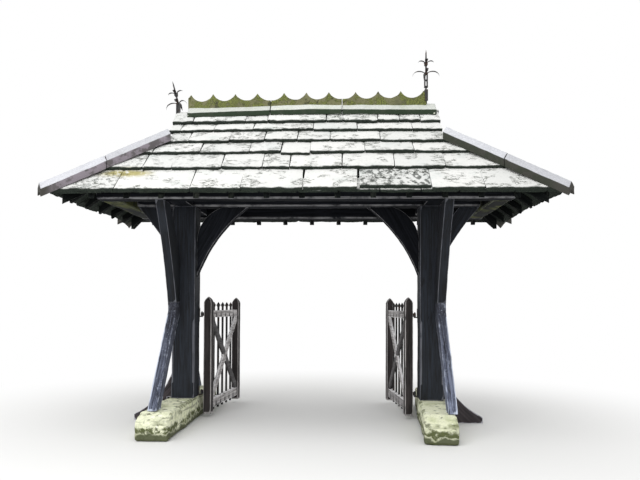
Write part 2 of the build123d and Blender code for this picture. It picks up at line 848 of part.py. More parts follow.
def pointed_board(start, width):
    # the face of an upright board with a pointed head whose two sides swell a little
    with BuildSketch() as board:
        with BuildLine():
            Polyline(
                (start, gate_shoulder),
                (start, gate_bottom),
                (start + width, gate_bottom),
                (start + width, gate_shoulder),
            )
            SagittaArc((start + width, gate_shoulder), (start + width / 2, gate_point), -stile_bow)
            SagittaArc((start + width / 2, gate_point), (start, gate_shoulder), -stile_bow)
        make_face()
    return board.sketch


# Stiles: the hinge stile and the meeting stile, each with a head that is pointed on all four sides
leaf_end_plane = Plane(
    origin=(-pivot_x, pivot_y, 0),
    x_dir=(open_sin, -open_cos, 0),
    z_dir=(-open_cos, -open_sin, 0),
)
stile_edge_face = pointed_board(leaf_offset, stile_thickness)
hinge_stile_face = pointed_board(hinge_gap, stile_width)
meeting_stile_face = pointed_board(rail_end, stile_width)
with BuildPart() as stile_edge:
    with BuildSketch(leaf_end_plane):
        add(stile_edge_face)
    extrude(amount=-leaf_length)
with BuildPart() as gate_stiles:
    with BuildSketch(leaf_plane(leaf_offset)):
        add(hinge_stile_face)
        add(meeting_stile_face)
    extrude(amount=stile_thickness)
    add(stile_edge.part, mode=Mode.INTERSECT)
keep_pair(gate_stiles, "left_gate_stiles", "right_gate_stiles")

# Bars: square iron bars through both rails, with four-sided spear heads
bar_centre = rail_offset + rail_thickness - cross_brace_thickness - bar_gap - bar_size / 2
bar_step = (rail_end - rail_start) / (bar_count + 1)
bar_places = [rail_start + bar_step * (i + 1) for i in range(bar_count)]
spear_shoulder = bar_neck + spear_width / 2
with BuildPart() as gate_bars:
    with BuildSketch(leaf_plane(bar_centre - bar_size / 2)):
        for place in bar_places:
            with Locations((place, (bar_low + bar_neck) / 2)):
                Rectangle(bar_size, bar_neck - bar_low)
    extrude(amount=bar_size)
    bar_x = -pivot_x + bar_centre * open_sin
    bar_y = pivot_y - bar_centre * open_cos
    for place in bar_places:
        for level, next_level, size, next_size in (
            (bar_neck, spear_shoulder, bar_size, spear_width),
            (spear_shoulder, bar_tip, spear_width, spear_point),
        ):
            for height, width in ((level, size), (next_level, next_size)):
                with BuildSketch(Plane.XY.offset(height)):
                    with Locations((bar_x + place * open_cos, bar_y + place * open_sin)):
                        Rectangle(width, width, rotation=gate_open_angle)
            loft()
keep_pair(gate_bars, "left_gate_bars", "right_gate_bars")

# Rails: a top and a bottom rail between the stiles, pierced for the bars
with BuildPart() as gate_rails:
    with BuildSketch(leaf_plane(rail_offset)):
        with Locations(((rail_start + rail_end) / 2, top_rail_low + top_rail_height / 2)):
            Rectangle(rail_end - rail_start, top_rail_height)
        with Locations(((rail_start + rail_end) / 2, bottom_rail_low + bottom_rail_height / 2)):
            Rectangle(rail_end - rail_start, bottom_rail_height)
    extrude(amount=rail_thickness)
    add(gate_bars.part, mode=Mode.SUBTRACT)
keep_pair(gate_rails, "left_gate_rails", "right_gate_rails")

# Cross brace: a saltire between the rails, behind the bars
brace_run = rail_end - rail_start
brace_rise = top_rail_low - rail_low_top
brace_angle = degrees(atan2(brace_rise, brace_run))
with BuildPart() as gate_brace:
    with BuildSketch(leaf_plane(rail_offset + rail_thickness - cross_brace_thickness)):
        with Locations(((rail_start + rail_end) / 2, (rail_low_top + top_rail_low) / 2)):
            Rectangle(2 * brace_run, cross_brace_width, rotation=brace_angle)
            Rectangle(2 * brace_run, cross_brace_width, rotation=-brace_angle)
            Rectangle(brace_run, brace_rise, mode=Mode.INTERSECT)
    extrude(amount=cross_brace_thickness)
keep_pair(gate_brace, "left_gate_cross_brace", "right_gate_cross_brace")

# Hinge bands: iron straps along the leaf, each ending in an eye round its pin
eye_radius = leaf_offset
with BuildPart() as hinge_bands:
    for level, length in ((low_band_level, low_band_length), (high_band_level, high_band_length)):
        with BuildSketch(leaf_plane(leaf_offset - band_thickness)):
            with Locations((length / 2, level + band_height / 2)):
                Rectangle(length, band_height)
        extrude(amount=band_thickness)
        with BuildSketch(Plane.XY.offset(level)):
            with Locations((-pivot_x, pivot_y)):
                Circle(eye_radius)
        extrude(amount=band_height)
        with BuildSketch(Plane.XY.offset(level)):
            with Locations((-pivot_x, pivot_y)):
                Circle(pin_radius + pin_clearance)
        extrude(amount=band_height, mode=Mode.SUBTRACT)
keep_pair(hinge_bands, "left_gate_hinge_bands", "right_gate_hinge_bands")

# Pintles: on the post, a plate with a shelf and an upright pin for each band
with BuildPart() as gate_pintles:
    for level in (low_band_level, high_band_level):
        with BuildSketch(Plane.XY.offset(level - shelf_thickness)):
            with Locations((-post_inner + pintle_plate_thickness / 2, pivot_y)):
                Rectangle(pintle_plate_thickness, pintle_plate_width)
        extrude(amount=pintle_plate_height)
        with BuildSketch(Plane.XY.offset(level - shelf_thickness)):
            with Locations((-post_inner + pivot_from_post / 2, pivot_y)):
                Rectangle(pivot_from_post, 2 * shelf_half_width)
            with Locations((-pivot_x, pivot_y)):
                Circle(shelf_half_width)
        extrude(amount=shelf_thickness)
        with BuildSketch(Plane.XY.offset(level)):
            with Locations((-pivot_x, pivot_y)):
                Circle(pin_radius)
        extrude(amount=band_height + pin_stand)
keep_pair(gate_pintles, "gate_pintles_left", "gate_pintles_right")

# Every piece is moved by the same amount, so that the origin is in the middle of the outline
outline_front = min(part.bounding_box().min.Y for part in finished.values())
outline_back = max(part.bounding_box().max.Y for part in finished.values())
to_origin = Location((0, -(outline_front + outline_back) / 2, 0))
for name, part in finished.items():
    placed = part.moved(to_origin)
    placed.label = name
    export_step(placed, f"parts/{name}.step")
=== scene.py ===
# %% [markdown]
# # An oak lychgate under a roof of stone slates
# A lychgate is a gate with its own roof. This one is two oak posts on long stones, with
# raking struts, curved braces, a hipped roof with small gables on top, and a pair of low gates. The packed
# model gives every piece its place and size, and this script gives each one its surface: worn arrises, split
# grain, riven slates one by one, moss, lichen and rust.

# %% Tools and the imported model
import json
import random
from math import atan2, cos, radians, sin

import bmesh
import bpy
import numpy as np
from mathutils import Matrix, Vector, noise

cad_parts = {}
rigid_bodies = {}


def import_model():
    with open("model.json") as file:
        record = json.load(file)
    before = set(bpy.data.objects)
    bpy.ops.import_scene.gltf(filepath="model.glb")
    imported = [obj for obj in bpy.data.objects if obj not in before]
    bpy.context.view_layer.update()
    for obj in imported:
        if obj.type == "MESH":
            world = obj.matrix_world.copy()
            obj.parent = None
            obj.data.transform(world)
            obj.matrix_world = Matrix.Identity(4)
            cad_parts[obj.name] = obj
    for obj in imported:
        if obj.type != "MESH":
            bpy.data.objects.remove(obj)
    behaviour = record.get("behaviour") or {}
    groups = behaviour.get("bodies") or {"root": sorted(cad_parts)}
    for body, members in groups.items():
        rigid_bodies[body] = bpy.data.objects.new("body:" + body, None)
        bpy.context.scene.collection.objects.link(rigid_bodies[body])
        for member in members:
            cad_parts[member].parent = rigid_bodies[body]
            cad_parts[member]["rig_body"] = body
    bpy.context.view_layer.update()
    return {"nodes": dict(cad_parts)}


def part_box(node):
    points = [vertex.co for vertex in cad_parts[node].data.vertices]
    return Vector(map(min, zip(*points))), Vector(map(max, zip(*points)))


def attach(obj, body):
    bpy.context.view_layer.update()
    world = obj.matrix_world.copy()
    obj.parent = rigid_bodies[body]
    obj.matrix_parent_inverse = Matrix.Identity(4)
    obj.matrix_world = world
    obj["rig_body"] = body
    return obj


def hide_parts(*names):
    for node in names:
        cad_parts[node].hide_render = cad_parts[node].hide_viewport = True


for left_over in list(bpy.data.objects):
    bpy.data.objects.remove(left_over)
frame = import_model()
nodes = frame["nodes"]
print("nodes in the packed model:", len(nodes))

# %% [markdown]
# ## Short calls for shader nodes
# Every finish below is a tree of nodes. One helper makes a node, sets it and links it, so that a material
# reads as a list of what it is made of. A value may be a number or another node's output, and an output knows
# which tree it belongs to, so most calls need not be told.

# %% Make a node and link it
def is_output(value):
    return isinstance(value, bpy.types.NodeSocket)


def tree_of(*values):
    return next(value.id_data for value in values if is_output(value))


def feed(tree, socket, value):
    if is_output(value):
        tree.links.new(value, socket)
    else:
        socket.default_value = value


def shader_node(tree, kind, inputs=None, **settings):
    made = tree.nodes.new("ShaderNode" + kind)
    for name, value in settings.items():
        setattr(made, name, value)
    for name, value in (inputs or {}).items():
        feed(tree, made.inputs[name], value)
    return made


# %% Sums on outputs
def maths(operation, first, second=0.0):
    tree = tree_of(first, second)
    return shader_node(tree, "Math", {0: first, 1: second}, operation=operation).outputs[0]


def times(first, second):
    return maths("MULTIPLY", first, second)


def plus(first, second):
    return maths("ADD", first, second)


def minus(first, second):
    return maths("SUBTRACT", first, second)


def either(first, second):
    return maths("MAXIMUM", first, second)


def spread(value, low, high, to_low=0.0, to_high=1.0):
    # a smooth step from to_low to to_high as value goes from low to high
    limits = {"Value": value, "From Min": low, "From Max": high, "To Min": to_low, "To Max": to_high}
    made = shader_node(tree_of(value), "MapRange", limits, interpolation_type="SMOOTHSTEP")
    return made.outputs["Result"]


# %% Colours, noise and directions
def colour(red, green, blue):
    return (red, green, blue, 1.0)


def blend_colours(factor, first, second):
    tree = tree_of(factor, first, second)
    return shader_node(tree, "Mix", {0: factor, 6: first, 7: second}, data_type="RGBA").outputs[2]


def lay_over(base, over, mask, share=1.0):
    # one colour over another: all of it where the mask is 1, or only a share of it
    return blend_colours(mask if share == 1.0 else times(mask, share), base, over)


def cloud(vector, scale, detail=4.0, roughness=0.6):
    settings = {"Vector": vector, "Scale": scale, "Detail": detail, "Roughness": roughness}
    return shader_node(tree_of(vector), "TexNoise", settings).outputs["Fac"]


def stretched(vector, scale):
    return shader_node(tree_of(vector), "Mapping", {"Vector": vector, "Scale": scale}).outputs["Vector"]


def moved(vector, step):
    return shader_node(tree_of(vector), "VectorMath", {0: vector, 1: step}, operation="ADD").outputs[0]


def part_of(vector, axis):
    return shader_node(tree_of(vector), "SeparateXYZ", {0: vector}).outputs[axis]


# %% [markdown]
# ## Effects that several finishes share
# Drying cracks, worn arrises, lichen and moss turn up on more than one material. Each is a node group with
# named inputs, built once and placed in each material with its own values. A group gives out masks and
# heights only, and the shader itself stays in the material.

# %% Node groups
def new_group(name, inputs, outputs):
    group = bpy.data.node_groups.new(name, "ShaderNodeTree")
    for socket in inputs:
        kind = "NodeSocketVector" if socket in ("Along", "Place") else "NodeSocketFloat"
        group.interface.new_socket(name=socket, in_out="INPUT", socket_type=kind)
    for socket in outputs:
        group.interface.new_socket(name=socket, in_out="OUTPUT", socket_type="NodeSocketFloat")
    entry = group.nodes.new("NodeGroupInput")
    leaving = group.nodes.new("NodeGroupOutput")
    return group, entry.outputs, leaving.inputs


def use_group(group, **inputs):
    tree = tree_of(*inputs.values())
    made = tree.nodes.new("ShaderNodeGroup")
    made.node_tree = group
    for name, value in inputs.items():
        feed(tree, made.inputs[name], value)
    return made.outputs


# Oak grain: fine streaks along the piece, and long checks where the timber has split as it dried
oak_grain, entry, leaving = new_group("oak_grain", ["Along", "Checks"], ["Streaks", "Splits", "Relief"])
wander = cloud(stretched(entry["Along"], (1.1, 3.0, 3.0)), 1.0, 2.0)
sideways = shader_node(oak_grain, "CombineXYZ", {"Y": times(wander, 0.06)}).outputs[0]
bent = moved(entry["Along"], sideways)
streaks = cloud(stretched(bent, (2.2, 60.0, 60.0)), 1.0, 6.0, 0.65)
wide = cloud(stretched(bent, (0.9, 16.0, 16.0)), 1.0, 3.0, 0.5)
where = cloud(stretched(entry["Along"], (1.7, 4.0, 4.0)), 1.3, 2.0)
thin_line = spread(maths("ABSOLUTE", minus(wide, 0.5)), 0.004, 0.016, 1.0, 0.0)
splits = times(thin_line, spread(plus(where, entry["Checks"]), 0.56, 0.66))
relief = minus(times(streaks, 0.35), splits)
for name, value in (("Streaks", streaks), ("Splits", splits), ("Relief", relief)):
    feed(oak_grain, leaving[name], value)

# Ragged arris: a band along an edge, broken up so that it isn't an even line. On the oak it carries worn pale
# wood with a painted highlight, on the stones moss, and on the slates moss with painted shade
ragged_arris, entry, leaving = new_group("ragged_arris", ["Place", "Edge", "Amount", "Sharpness"], ["Mask"])
broken = cloud(entry["Place"], 9.0, 5.0)
narrow = maths("POWER", entry["Edge"], entry["Sharpness"])
reach = plus(times(broken, 0.8), entry["Amount"])
feed(ragged_arris, leaving["Mask"], spread(plus(narrow, reach), 1.25, 1.55))

# Patches: soft-edged areas of growth or staining, from none at cover 0 to nearly all at cover 1
patches, entry, leaving = new_group("patches", ["Place", "Size", "Cover", "Softness"], ["Mask"])
field = cloud(entry["Place"], maths("DIVIDE", 1.0, entry["Size"]), 6.0, 0.62)
level = minus(0.76, times(entry["Cover"], 0.52))
feed(patches, leaving["Mask"], spread(field, level, plus(level, entry["Softness"])))

# Lichen: round crusts of many sizes, each with a ragged outline
lichen, entry, leaving = new_group("lichen", ["Place", "Size", "Cover"], ["Mask"])
jitter = shader_node(lichen, "TexNoise", {"Vector": entry["Place"], "Scale": 45.0, "Detail": 3.0})
jitter = shader_node(lichen, "VectorMath", {0: jitter.outputs["Color"], "Scale": 0.02}, operation="SCALE")
ragged = moved(entry["Place"], jitter.outputs[0])
crust = shader_node(lichen, "TexVoronoi", {
    "Vector": ragged, "Scale": maths("DIVIDE", 1.0, entry["Size"]), "Randomness": 1.0})
chance = shader_node(lichen, "SeparateColor", {0: crust.outputs["Color"]}).outputs[0]
radius = times(minus(entry["Cover"], chance), 0.9)
feed(lichen, leaving["Mask"], spread(minus(radius, crust.outputs["Distance"]), 0.0, 0.06))


# %% Helpers for whole materials
def new_material(name, shine):
    material = bpy.data.materials.new(name)
    material.use_nodes = True
    tree = material.node_tree
    tree.nodes.clear()
    surface = tree.nodes.new("ShaderNodeBsdfPrincipled")
    surface.inputs["Specular IOR Level"].default_value = shine
    output = tree.nodes.new("ShaderNodeOutputMaterial")
    tree.links.new(surface.outputs[0], output.inputs[0])
    return material, tree, surface


def finish_surface(surface, base, roughness, height, depth):
    tree = tree_of(base)
    feed(tree, surface.inputs["Base Color"], base)
    feed(tree, surface.inputs["Roughness"], roughness)
    bump = shader_node(tree, "Bump", {"Height": height, "Strength": 1.0, "Distance": depth})
    feed(tree, surface.inputs["Normal"], bump.outputs["Normal"])


def attribute(tree, name, output="Fac"):
    return shader_node(tree, "Attribute", attribute_name=name).outputs[output]


def place(tree):
    return shader_node(tree, "TexCoord").outputs["Object"]


def facing(tree, axis):
    return part_of(shader_node(tree, "NewGeometry").outputs["Normal"], axis)


def patch(spot, size, cover, softness):
    return use_group(patches, Place=spot, Size=size, Cover=cover, Softness=softness)["Mask"]


def crusts(spot, size, cover):
    return use_group(lichen, Place=spot, Size=size, Cover=cover)["Mask"]


def arris_band(tree, spot, amount, sharpness=1.0):
    edge = attribute(tree, "arris")
    return use_group(ragged_arris, Place=spot, Edge=edge, Amount=amount, Sharpness=sharpness)["Mask"]


# %% [markdown]
# ## Oak
# The frame is old oak, black with tar and age. The raking struts have lost most of theirs, so they are
# bleached blue-grey, with pale arrises that are partly worn and partly painted highlight, and outer faces
# painted paler than the inner ones, which stand as in shade. The gates are stained brown-black, and their
# rails are worn pale. On the spurs, stiles and rails, faces that look up are painted paler, as lit from
# above.
# The eight finishes come from one function, and the grain runs along each piece, because each piece carries
# its own grain coordinates as an attribute.

# %% Oak finishes
stain_colour = colour(0.016, 0.015, 0.018)
split_colour = colour(0.008, 0.008, 0.009)
algae_colour = colour(0.105, 0.115, 0.040)
black = colour(0.0, 0.0, 0.0)


def oak_material(name, dark, light, worn_and_lit, wear, checks=0.06, streak_gain=1.0, algae=0.0, painted_top_light=0.0,
                 gloss=0.3, painted_outer_light=0.0):
    material, tree, surface = new_material(name, gloss)
    dark, light, worn_and_lit = colour(*dark), colour(*light), colour(*worn_and_lit)
    spot = place(tree)
    grain = use_group(oak_grain, Along=attribute(tree, "grain", "Vector"), Checks=checks)
    base = blend_colours(spread(grain["Streaks"], 0.36, 0.66, 0.0, streak_gain), dark, light)
    base = lay_over(base, black, attribute(tree, "tone"), 0.45)
    base = lay_over(base, light, patch(spot, size=0.55, cover=0.5, softness=0.2), 0.3)
    # painted light: faces that look up are paler, as lit from above
    if painted_top_light:
        base = lay_over(base, worn_and_lit, spread(facing(tree, "Z"), 0.5, 0.95), painted_top_light)
    base = lay_over(base, stain_colour, attribute(tree, "stain"), 0.9)
    if painted_outer_light:
        # painted light: the faces that look away from the gateway are painted paler, as lit, and the inner
        # ones stay dark as painted shade; flecks of tar are gone everywhere
        outward = times(facing(tree, "X"), part_of(spot, "X"))
        flecks = spread(cloud(spot, 60.0, 4.0, 0.7), 0.60, 0.68)
        base = lay_over(base, worn_and_lit, either(spread(outward, 0.7, 1.2, 0.0, painted_outer_light), times(flecks, 0.6)))
    # worn pale arrises, which also carry a painted highlight along the edges
    edge = arris_band(tree, spot, amount=wear, sharpness=3.0)
    base = lay_over(base, worn_and_lit, times(edge, spread(grain["Streaks"], 0.3, 0.55, 0.35, 1.0)))
    if algae:
        base = lay_over(base, algae_colour, patch(spot, size=0.3, cover=algae, softness=0.15), 0.75)
    base = lay_over(base, split_colour, grain["Splits"], 0.85)
    rough = spread(grain["Streaks"], 0.3, 0.7, 0.72, 0.92)
    finish_surface(surface, base, rough, grain["Relief"], 0.0035)
    return material


# each takes the colours of its dark and light grain and of worn wood, which also serves for painted light on
# arrises, tops and outer faces, and how much of its arrises take that colour
dark_oak = oak_material("dark_oak", (0.008, 0.009, 0.012), (0.027, 0.033, 0.045), (0.12, 0.125, 0.145), 0.16)
beam_oak = oak_material(
    "beam_oak", (0.007, 0.008, 0.010), (0.020, 0.022, 0.028), (0.22, 0.22, 0.23), 0.06, gloss=0.04)
end_oak = oak_material(
    "end_oak", (0.010, 0.011, 0.011), (0.032, 0.036, 0.034), (0.14, 0.15, 0.11), 0.05,
    algae=0.55, gloss=0.08)
rafter_oak = oak_material(
    "rafter_oak", (0.004, 0.005, 0.005), (0.011, 0.013, 0.013), (0.045, 0.050, 0.042), -0.06,
    gloss=0.04)
weathered_oak = oak_material(
    "weathered_oak", (0.028, 0.033, 0.056), (0.19, 0.215, 0.30), (0.54, 0.59, 0.71), 0.80,
    checks=0.14, streak_gain=1.25, painted_outer_light=0.55)
spur_oak = oak_material(
    "spur_oak", (0.022, 0.018, 0.020), (0.080, 0.068, 0.074), (0.40, 0.40, 0.44), 0.40,
    checks=0.08, painted_top_light=0.8)
gate_oak = oak_material(
    "gate_oak", (0.016, 0.013, 0.013), (0.058, 0.049, 0.049), (0.42, 0.40, 0.40), 0.66,
    checks=0.08, painted_top_light=0.6)
rail_oak = oak_material(
    "rail_oak", (0.26, 0.24, 0.24), (0.72, 0.70, 0.70), (0.88, 0.87, 0.88), 0.40,
    checks=0.08, painted_top_light=0.9)

# %% [markdown]
# ## Stone
# Five stones show: pale riven slates with dark moss and painted shadow along their rims, sawn copings with a
# clean weathered top and sides painted darker as in shade, a ridge capping whose sides are dark green with
# moss and painted shade, a crest almost lost under moss, and yellow sandstone plinths with a painted shadow
# at their foot.
# Each starts from a mottled ground, and then takes lichen and moss.

# %% Stone finishes
def stone_material(name, ground, second, dark, cover_dark, lichen_colour, lichen_cover, moss_colour,
                   moss_cover, rim_moss, relief_depth, sides=None, bedding=0.0, foot_moss_and_shadow=False):
    material, tree, surface = new_material(name, 0.25)
    ground, second, dark = colour(*ground), colour(*second), colour(*dark)
    spot = place(tree)
    base = blend_colours(patch(spot, size=0.22, cover=0.55, softness=0.25), ground, second)
    fine = cloud(spot, 55.0, 5.0, 0.7)
    base = lay_over(base, dark, spread(fine, 0.35, 0.7, 0.22, 0.0))
    base = lay_over(base, dark, attribute(tree, "tone"), 0.22)
    if sides:
        # painted shade: the sides of a stone are darker than its top, which stands as lit, and those at the
        # left differ from those at the right
        side = blend_colours(spread(part_of(spot, "X"), -0.3, 0.3), colour(*sides[0]), colour(*sides[1]))
        blotches = times(patch(spot, size=0.12, cover=0.55, softness=0.12), 0.7)
        side = lay_over(side, dark, either(blotches, attribute(tree, "stain")))
        base = blend_colours(spread(facing(tree, "Z"), 0.25, 0.6), side, base)
    if bedding:
        layers = cloud(stretched(spot, (1.5, 1.5, 26.0)), 1.0, 4.0)
        base = lay_over(base, dark, spread(layers, 0.52, 0.62, 0.0, bedding))
    base = lay_over(base, dark, patch(spot, size=0.09, cover=cover_dark, softness=0.07), 0.8)
    base = lay_over(base, colour(*lichen_colour), crusts(spot, size=0.07, cover=lichen_cover), 0.7)
    if foot_moss_and_shadow:
        # the left stone is the mossier one
        moss_cover = spread(part_of(spot, "X"), -1.0, 1.0, moss_cover + 0.14, moss_cover - 0.04)
    growth = patch(spot, size=0.13, cover=moss_cover, softness=0.22 if foot_moss_and_shadow else 0.1)
    moss_and_dark_rims = either(growth, arris_band(tree, spot, amount=rim_moss))
    if foot_moss_and_shadow:
        # painted shadow: a dark line where the stone meets the ground, and a band of moss above it
        uneven = plus(plus(part_of(spot, "Z"), times(cloud(spot, 11.0, 4.0), -0.16)), 0.028)
        base = lay_over(base, dark, spread(uneven, 0.0, 0.035, 0.97, 0.0))
        low_growth = patch(spot, size=0.10, cover=0.72, softness=0.1)
        band = times(spread(uneven, 0.02, 0.04), spread(uneven, 0.11, 0.07))
        moss_and_dark_rims = either(moss_and_dark_rims, times(band, low_growth))
    tufts = cloud(spot, 140.0, 3.0, 0.7)
    moss_shade = blend_colours(spread(tufts, 0.35, 0.65), dark, colour(*moss_colour))
    base = lay_over(base, moss_shade, moss_and_dark_rims)
    height = plus(plus(times(fine, 0.5), times(moss_and_dark_rims, 0.35)), times(times(tufts, moss_and_dark_rims), 0.6))
    finish_surface(surface, base, 0.9, height, relief_depth)
    return material


sandstone = stone_material(
    "sandstone", ground=(0.92, 0.94, 0.70), second=(0.66, 0.70, 0.43), dark=(0.080, 0.090, 0.046),
    cover_dark=0.38, lichen_colour=(0.95, 0.95, 0.84), lichen_cover=0.40, moss_colour=(0.125, 0.145, 0.050),
    moss_cover=0.30, rim_moss=-0.06, relief_depth=0.008, bedding=0.50, foot_moss_and_shadow=True)
# the copings' sides are painted shade, grey-violet at the left and near black at the right
coping_stone = stone_material(
    "coping_stone", ground=(0.64, 0.65, 0.69), second=(0.55, 0.56, 0.60), dark=(0.050, 0.048, 0.042),
    cover_dark=0.08, lichen_colour=(0.70, 0.71, 0.70), lichen_cover=0.12, moss_colour=(0.07, 0.085, 0.04),
    moss_cover=0.10, rim_moss=-0.22, relief_depth=0.004, sides=((0.215, 0.190, 0.215), (0.036, 0.040, 0.030)))
# the capping's sides are dark green with moss and painted shade
capping_stone = stone_material(
    "capping_stone", ground=(0.70, 0.72, 0.68), second=(0.60, 0.63, 0.55), dark=(0.035, 0.045, 0.030),
    cover_dark=0.04, lichen_colour=(0.70, 0.72, 0.60), lichen_cover=0.30, moss_colour=(0.30, 0.34, 0.16),
    moss_cover=0.16, rim_moss=-0.30, relief_depth=0.004, sides=((0.022, 0.036, 0.020), (0.022, 0.036, 0.020)))
mossy_stone = stone_material(
    "mossy_stone", ground=(0.19, 0.185, 0.095), second=(0.115, 0.115, 0.060), dark=(0.035, 0.037, 0.020),
    cover_dark=0.42, lichen_colour=(0.33, 0.32, 0.23), lichen_cover=0.30, moss_colour=(0.22, 0.245, 0.065),
    moss_cover=0.62, rim_moss=-0.10, relief_depth=0.010)

# %% [markdown]
# The slates need more than the other stones: each slate has its own tone, its own share of moss, a rim that
# goes dark green with moss and near black along its tail and riser, which is painted shade for the shadow
# under each course, and short dark clefts where the stone has split along its bed. The slates carry these as
# attributes: tone, growth and arris, which is 1 at the outline and 0 inside.

# %% The slates' own finish
def slate_material():
    material, tree, surface = new_material("stone_slates", 0.25)
    spot = place(tree)
    mottled = patch(spot, size=0.30, cover=0.5, softness=0.3)
    base = blend_colours(mottled, colour(0.70, 0.70, 0.68), colour(0.58, 0.61, 0.59))
    base = lay_over(base, colour(0.44, 0.46, 0.45), attribute(tree, "tone"), 0.30)
    base = lay_over(base, colour(0.76, 0.76, 0.73), crusts(spot, size=0.11, cover=0.35), 0.4)
    fine = cloud(spot, 38.0, 6.0, 0.72)
    base = lay_over(base, colour(0.34, 0.38, 0.33), spread(fine, 0.55, 0.70, 0.0, 0.50))
    bed_lines = cloud(stretched(spot, (7.0, 22.0, 22.0)), 1.0, 5.0, 0.7)
    thin_line = spread(maths("ABSOLUTE", minus(bed_lines, 0.5)), 0.005, 0.022, 1.0, 0.0)
    cleft = times(thin_line, spread(cloud(spot, 5.0, 2.0), 0.50, 0.58))
    base = lay_over(base, colour(0.12, 0.15, 0.10), cleft, 0.85)
    yellow = times(patch(spot, size=0.05, cover=0.85, softness=0.16), attribute(tree, "yellow"))
    base = lay_over(base, colour(0.40, 0.36, 0.16), yellow)
    speckles = patch(spot, size=0.05, cover=0.5, softness=0.08)
    moss_here = times(speckles, spread(attribute(tree, "growth"), 0.15, 0.75, 0.0, 0.8))
    # the rims take moss, and along each tail and riser painted shade for the shadow under each course
    moss_and_dark_rims = either(moss_here, arris_band(tree, spot, amount=0.12))
    tufts = spread(cloud(spot, 120.0, 3.0, 0.7), 0.4, 0.66)
    # one near-black green for the moss and for the painted shade
    moss_shade = blend_colours(tufts, colour(0.009, 0.014, 0.012), colour(0.034, 0.044, 0.031))
    base = lay_over(base, moss_shade, moss_and_dark_rims)
    height = minus(plus(times(fine, 0.6), times(moss_and_dark_rims, 0.3)), cleft)
    finish_surface(surface, base, 0.88, height, 0.005)
    return material


stone_slates = slate_material()

# %% [markdown]
# ## Iron
# The hinges, bars and finials are blacksmith's work: black, a little glossy where it is sound, dull brown
# where rust has come through.

# %% Iron finish
def iron_material():
    material, tree, surface = new_material("wrought_iron", 0.5)
    spot = place(tree)
    rusty = patch(spot, size=0.05, cover=0.45, softness=0.12)
    scale_marks = cloud(spot, 160.0, 4.0, 0.7)
    sound = blend_colours(scale_marks, colour(0.012, 0.012, 0.013), colour(0.035, 0.034, 0.034))
    rust = blend_colours(scale_marks, colour(0.05, 0.022, 0.012), colour(0.13, 0.055, 0.025))
    surface.inputs["Metallic"].default_value = 0.35
    finish_surface(
        surface, lay_over(sound, rust, rusty, 0.6), spread(rusty, 0.0, 1.0, 0.45, 0.85), scale_marks, 0.0012)
    return material


wrought_iron = iron_material()
print("materials:", len(bpy.data.materials))

# %% [markdown]
# ## From a CAD node to a worn piece
# A CAD solid has perfect planes and knife edges, and old timber and stone have neither. The node's mesh is
# copied, its loose triangles are merged back into whole faces, its sharp edges are eased with a bevel, and
# it is cut into slices small enough to bend. Then every vertex moves a few millimetres along its normal, by
# a smooth noise. The copy keeps the grain's direction, which is the long axis of each solid.

# %% Copy and take apart
def corners_of(node):
    return [Vector(corner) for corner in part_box(node)]


def clamped(value):
    return max(0.0, min(1.0, value))


def separate_solids(shape):
    # one bmesh for each solid of a node
    shape.verts.ensure_lookup_table()
    unseen = set(shape.verts)
    solids = []
    while unseen:
        group = {unseen.pop()}
        border = list(group)
        while border:
            vert = border.pop()
            for edge in vert.link_edges:
                other = edge.other_vert(vert)
                if other in unseen:
                    unseen.discard(other)
                    group.add(other)
                    border.append(other)
        solid = bmesh.new()
        ordered = sorted(group, key=lambda vert: vert.index)
        copies = {vert: solid.verts.new(vert.co) for vert in ordered}
        done = set()
        for vert in ordered:
            for face in vert.link_faces:
                if face not in done:
                    done.add(face)
                    solid.faces.new([copies[corner] for corner in face.verts])
        solids.append(solid)
    solids.sort(key=lambda s: tuple(round(c, 4) for c in min(v.co[:] for v in s.verts)))
    return solids


def solids_of(node):
    # the node's mesh with its triangles joined back into whole faces, as one bmesh a solid
    shape = bmesh.new()
    shape.from_mesh(nodes[node].data)
    bmesh.ops.remove_doubles(shape, verts=shape.verts, dist=0.00005)
    bmesh.ops.dissolve_limit(shape, angle_limit=radians(0.5), verts=shape.verts, edges=shape.edges)
    solids = separate_solids(shape)
    shape.free()
    return solids


def long_axes(shape):
    # the solid's own three directions, the longest first
    points = np.array([vert.co[:] for vert in shape.verts])
    spread_out = points - points.mean(axis=0)
    axes = np.linalg.eigh(spread_out.T @ spread_out)[1].T[::-1]
    axes = [Vector(axis) for axis in axes]
    for i, axis in enumerate(axes):
        biggest = max(range(3), key=lambda k: abs(axis[k]))
        if axis[biggest] < 0:
            axes[i] = -axis
    return axes


# %% Ease, slice and wear
same_place = 0.00001
sharp_edge = radians(28)


def everything(shape):
    return list(shape.verts) + list(shape.edges) + list(shape.faces)


def slice_along(shape, axis, spacing):
    reach = [vert.co.dot(axis) for vert in shape.verts]
    low = min(reach)
    length = max(reach) - low
    count = max(1, round(length / spacing))
    for i in range(1, count):
        bmesh.ops.bisect_plane(
            shape, geom=everything(shape), dist=same_place,
            plane_co=axis * (low + length * i / count), plane_no=axis,
        )


def ease_edges(shape, width, segments):
    tag = shape.faces.layers.int.new("eased")
    sharp = [edge for edge in shape.edges if edge.is_manifold and edge.calc_face_angle() > sharp_edge]
    if sharp:
        made = bmesh.ops.bevel(
            shape, geom=sharp, offset=width, offset_type="OFFSET", segments=segments, profile=0.5,
            affect="EDGES", clamp_overlap=True, material=-1,
        )
        for face in made["faces"]:
            face[tag] = 1
    return tag


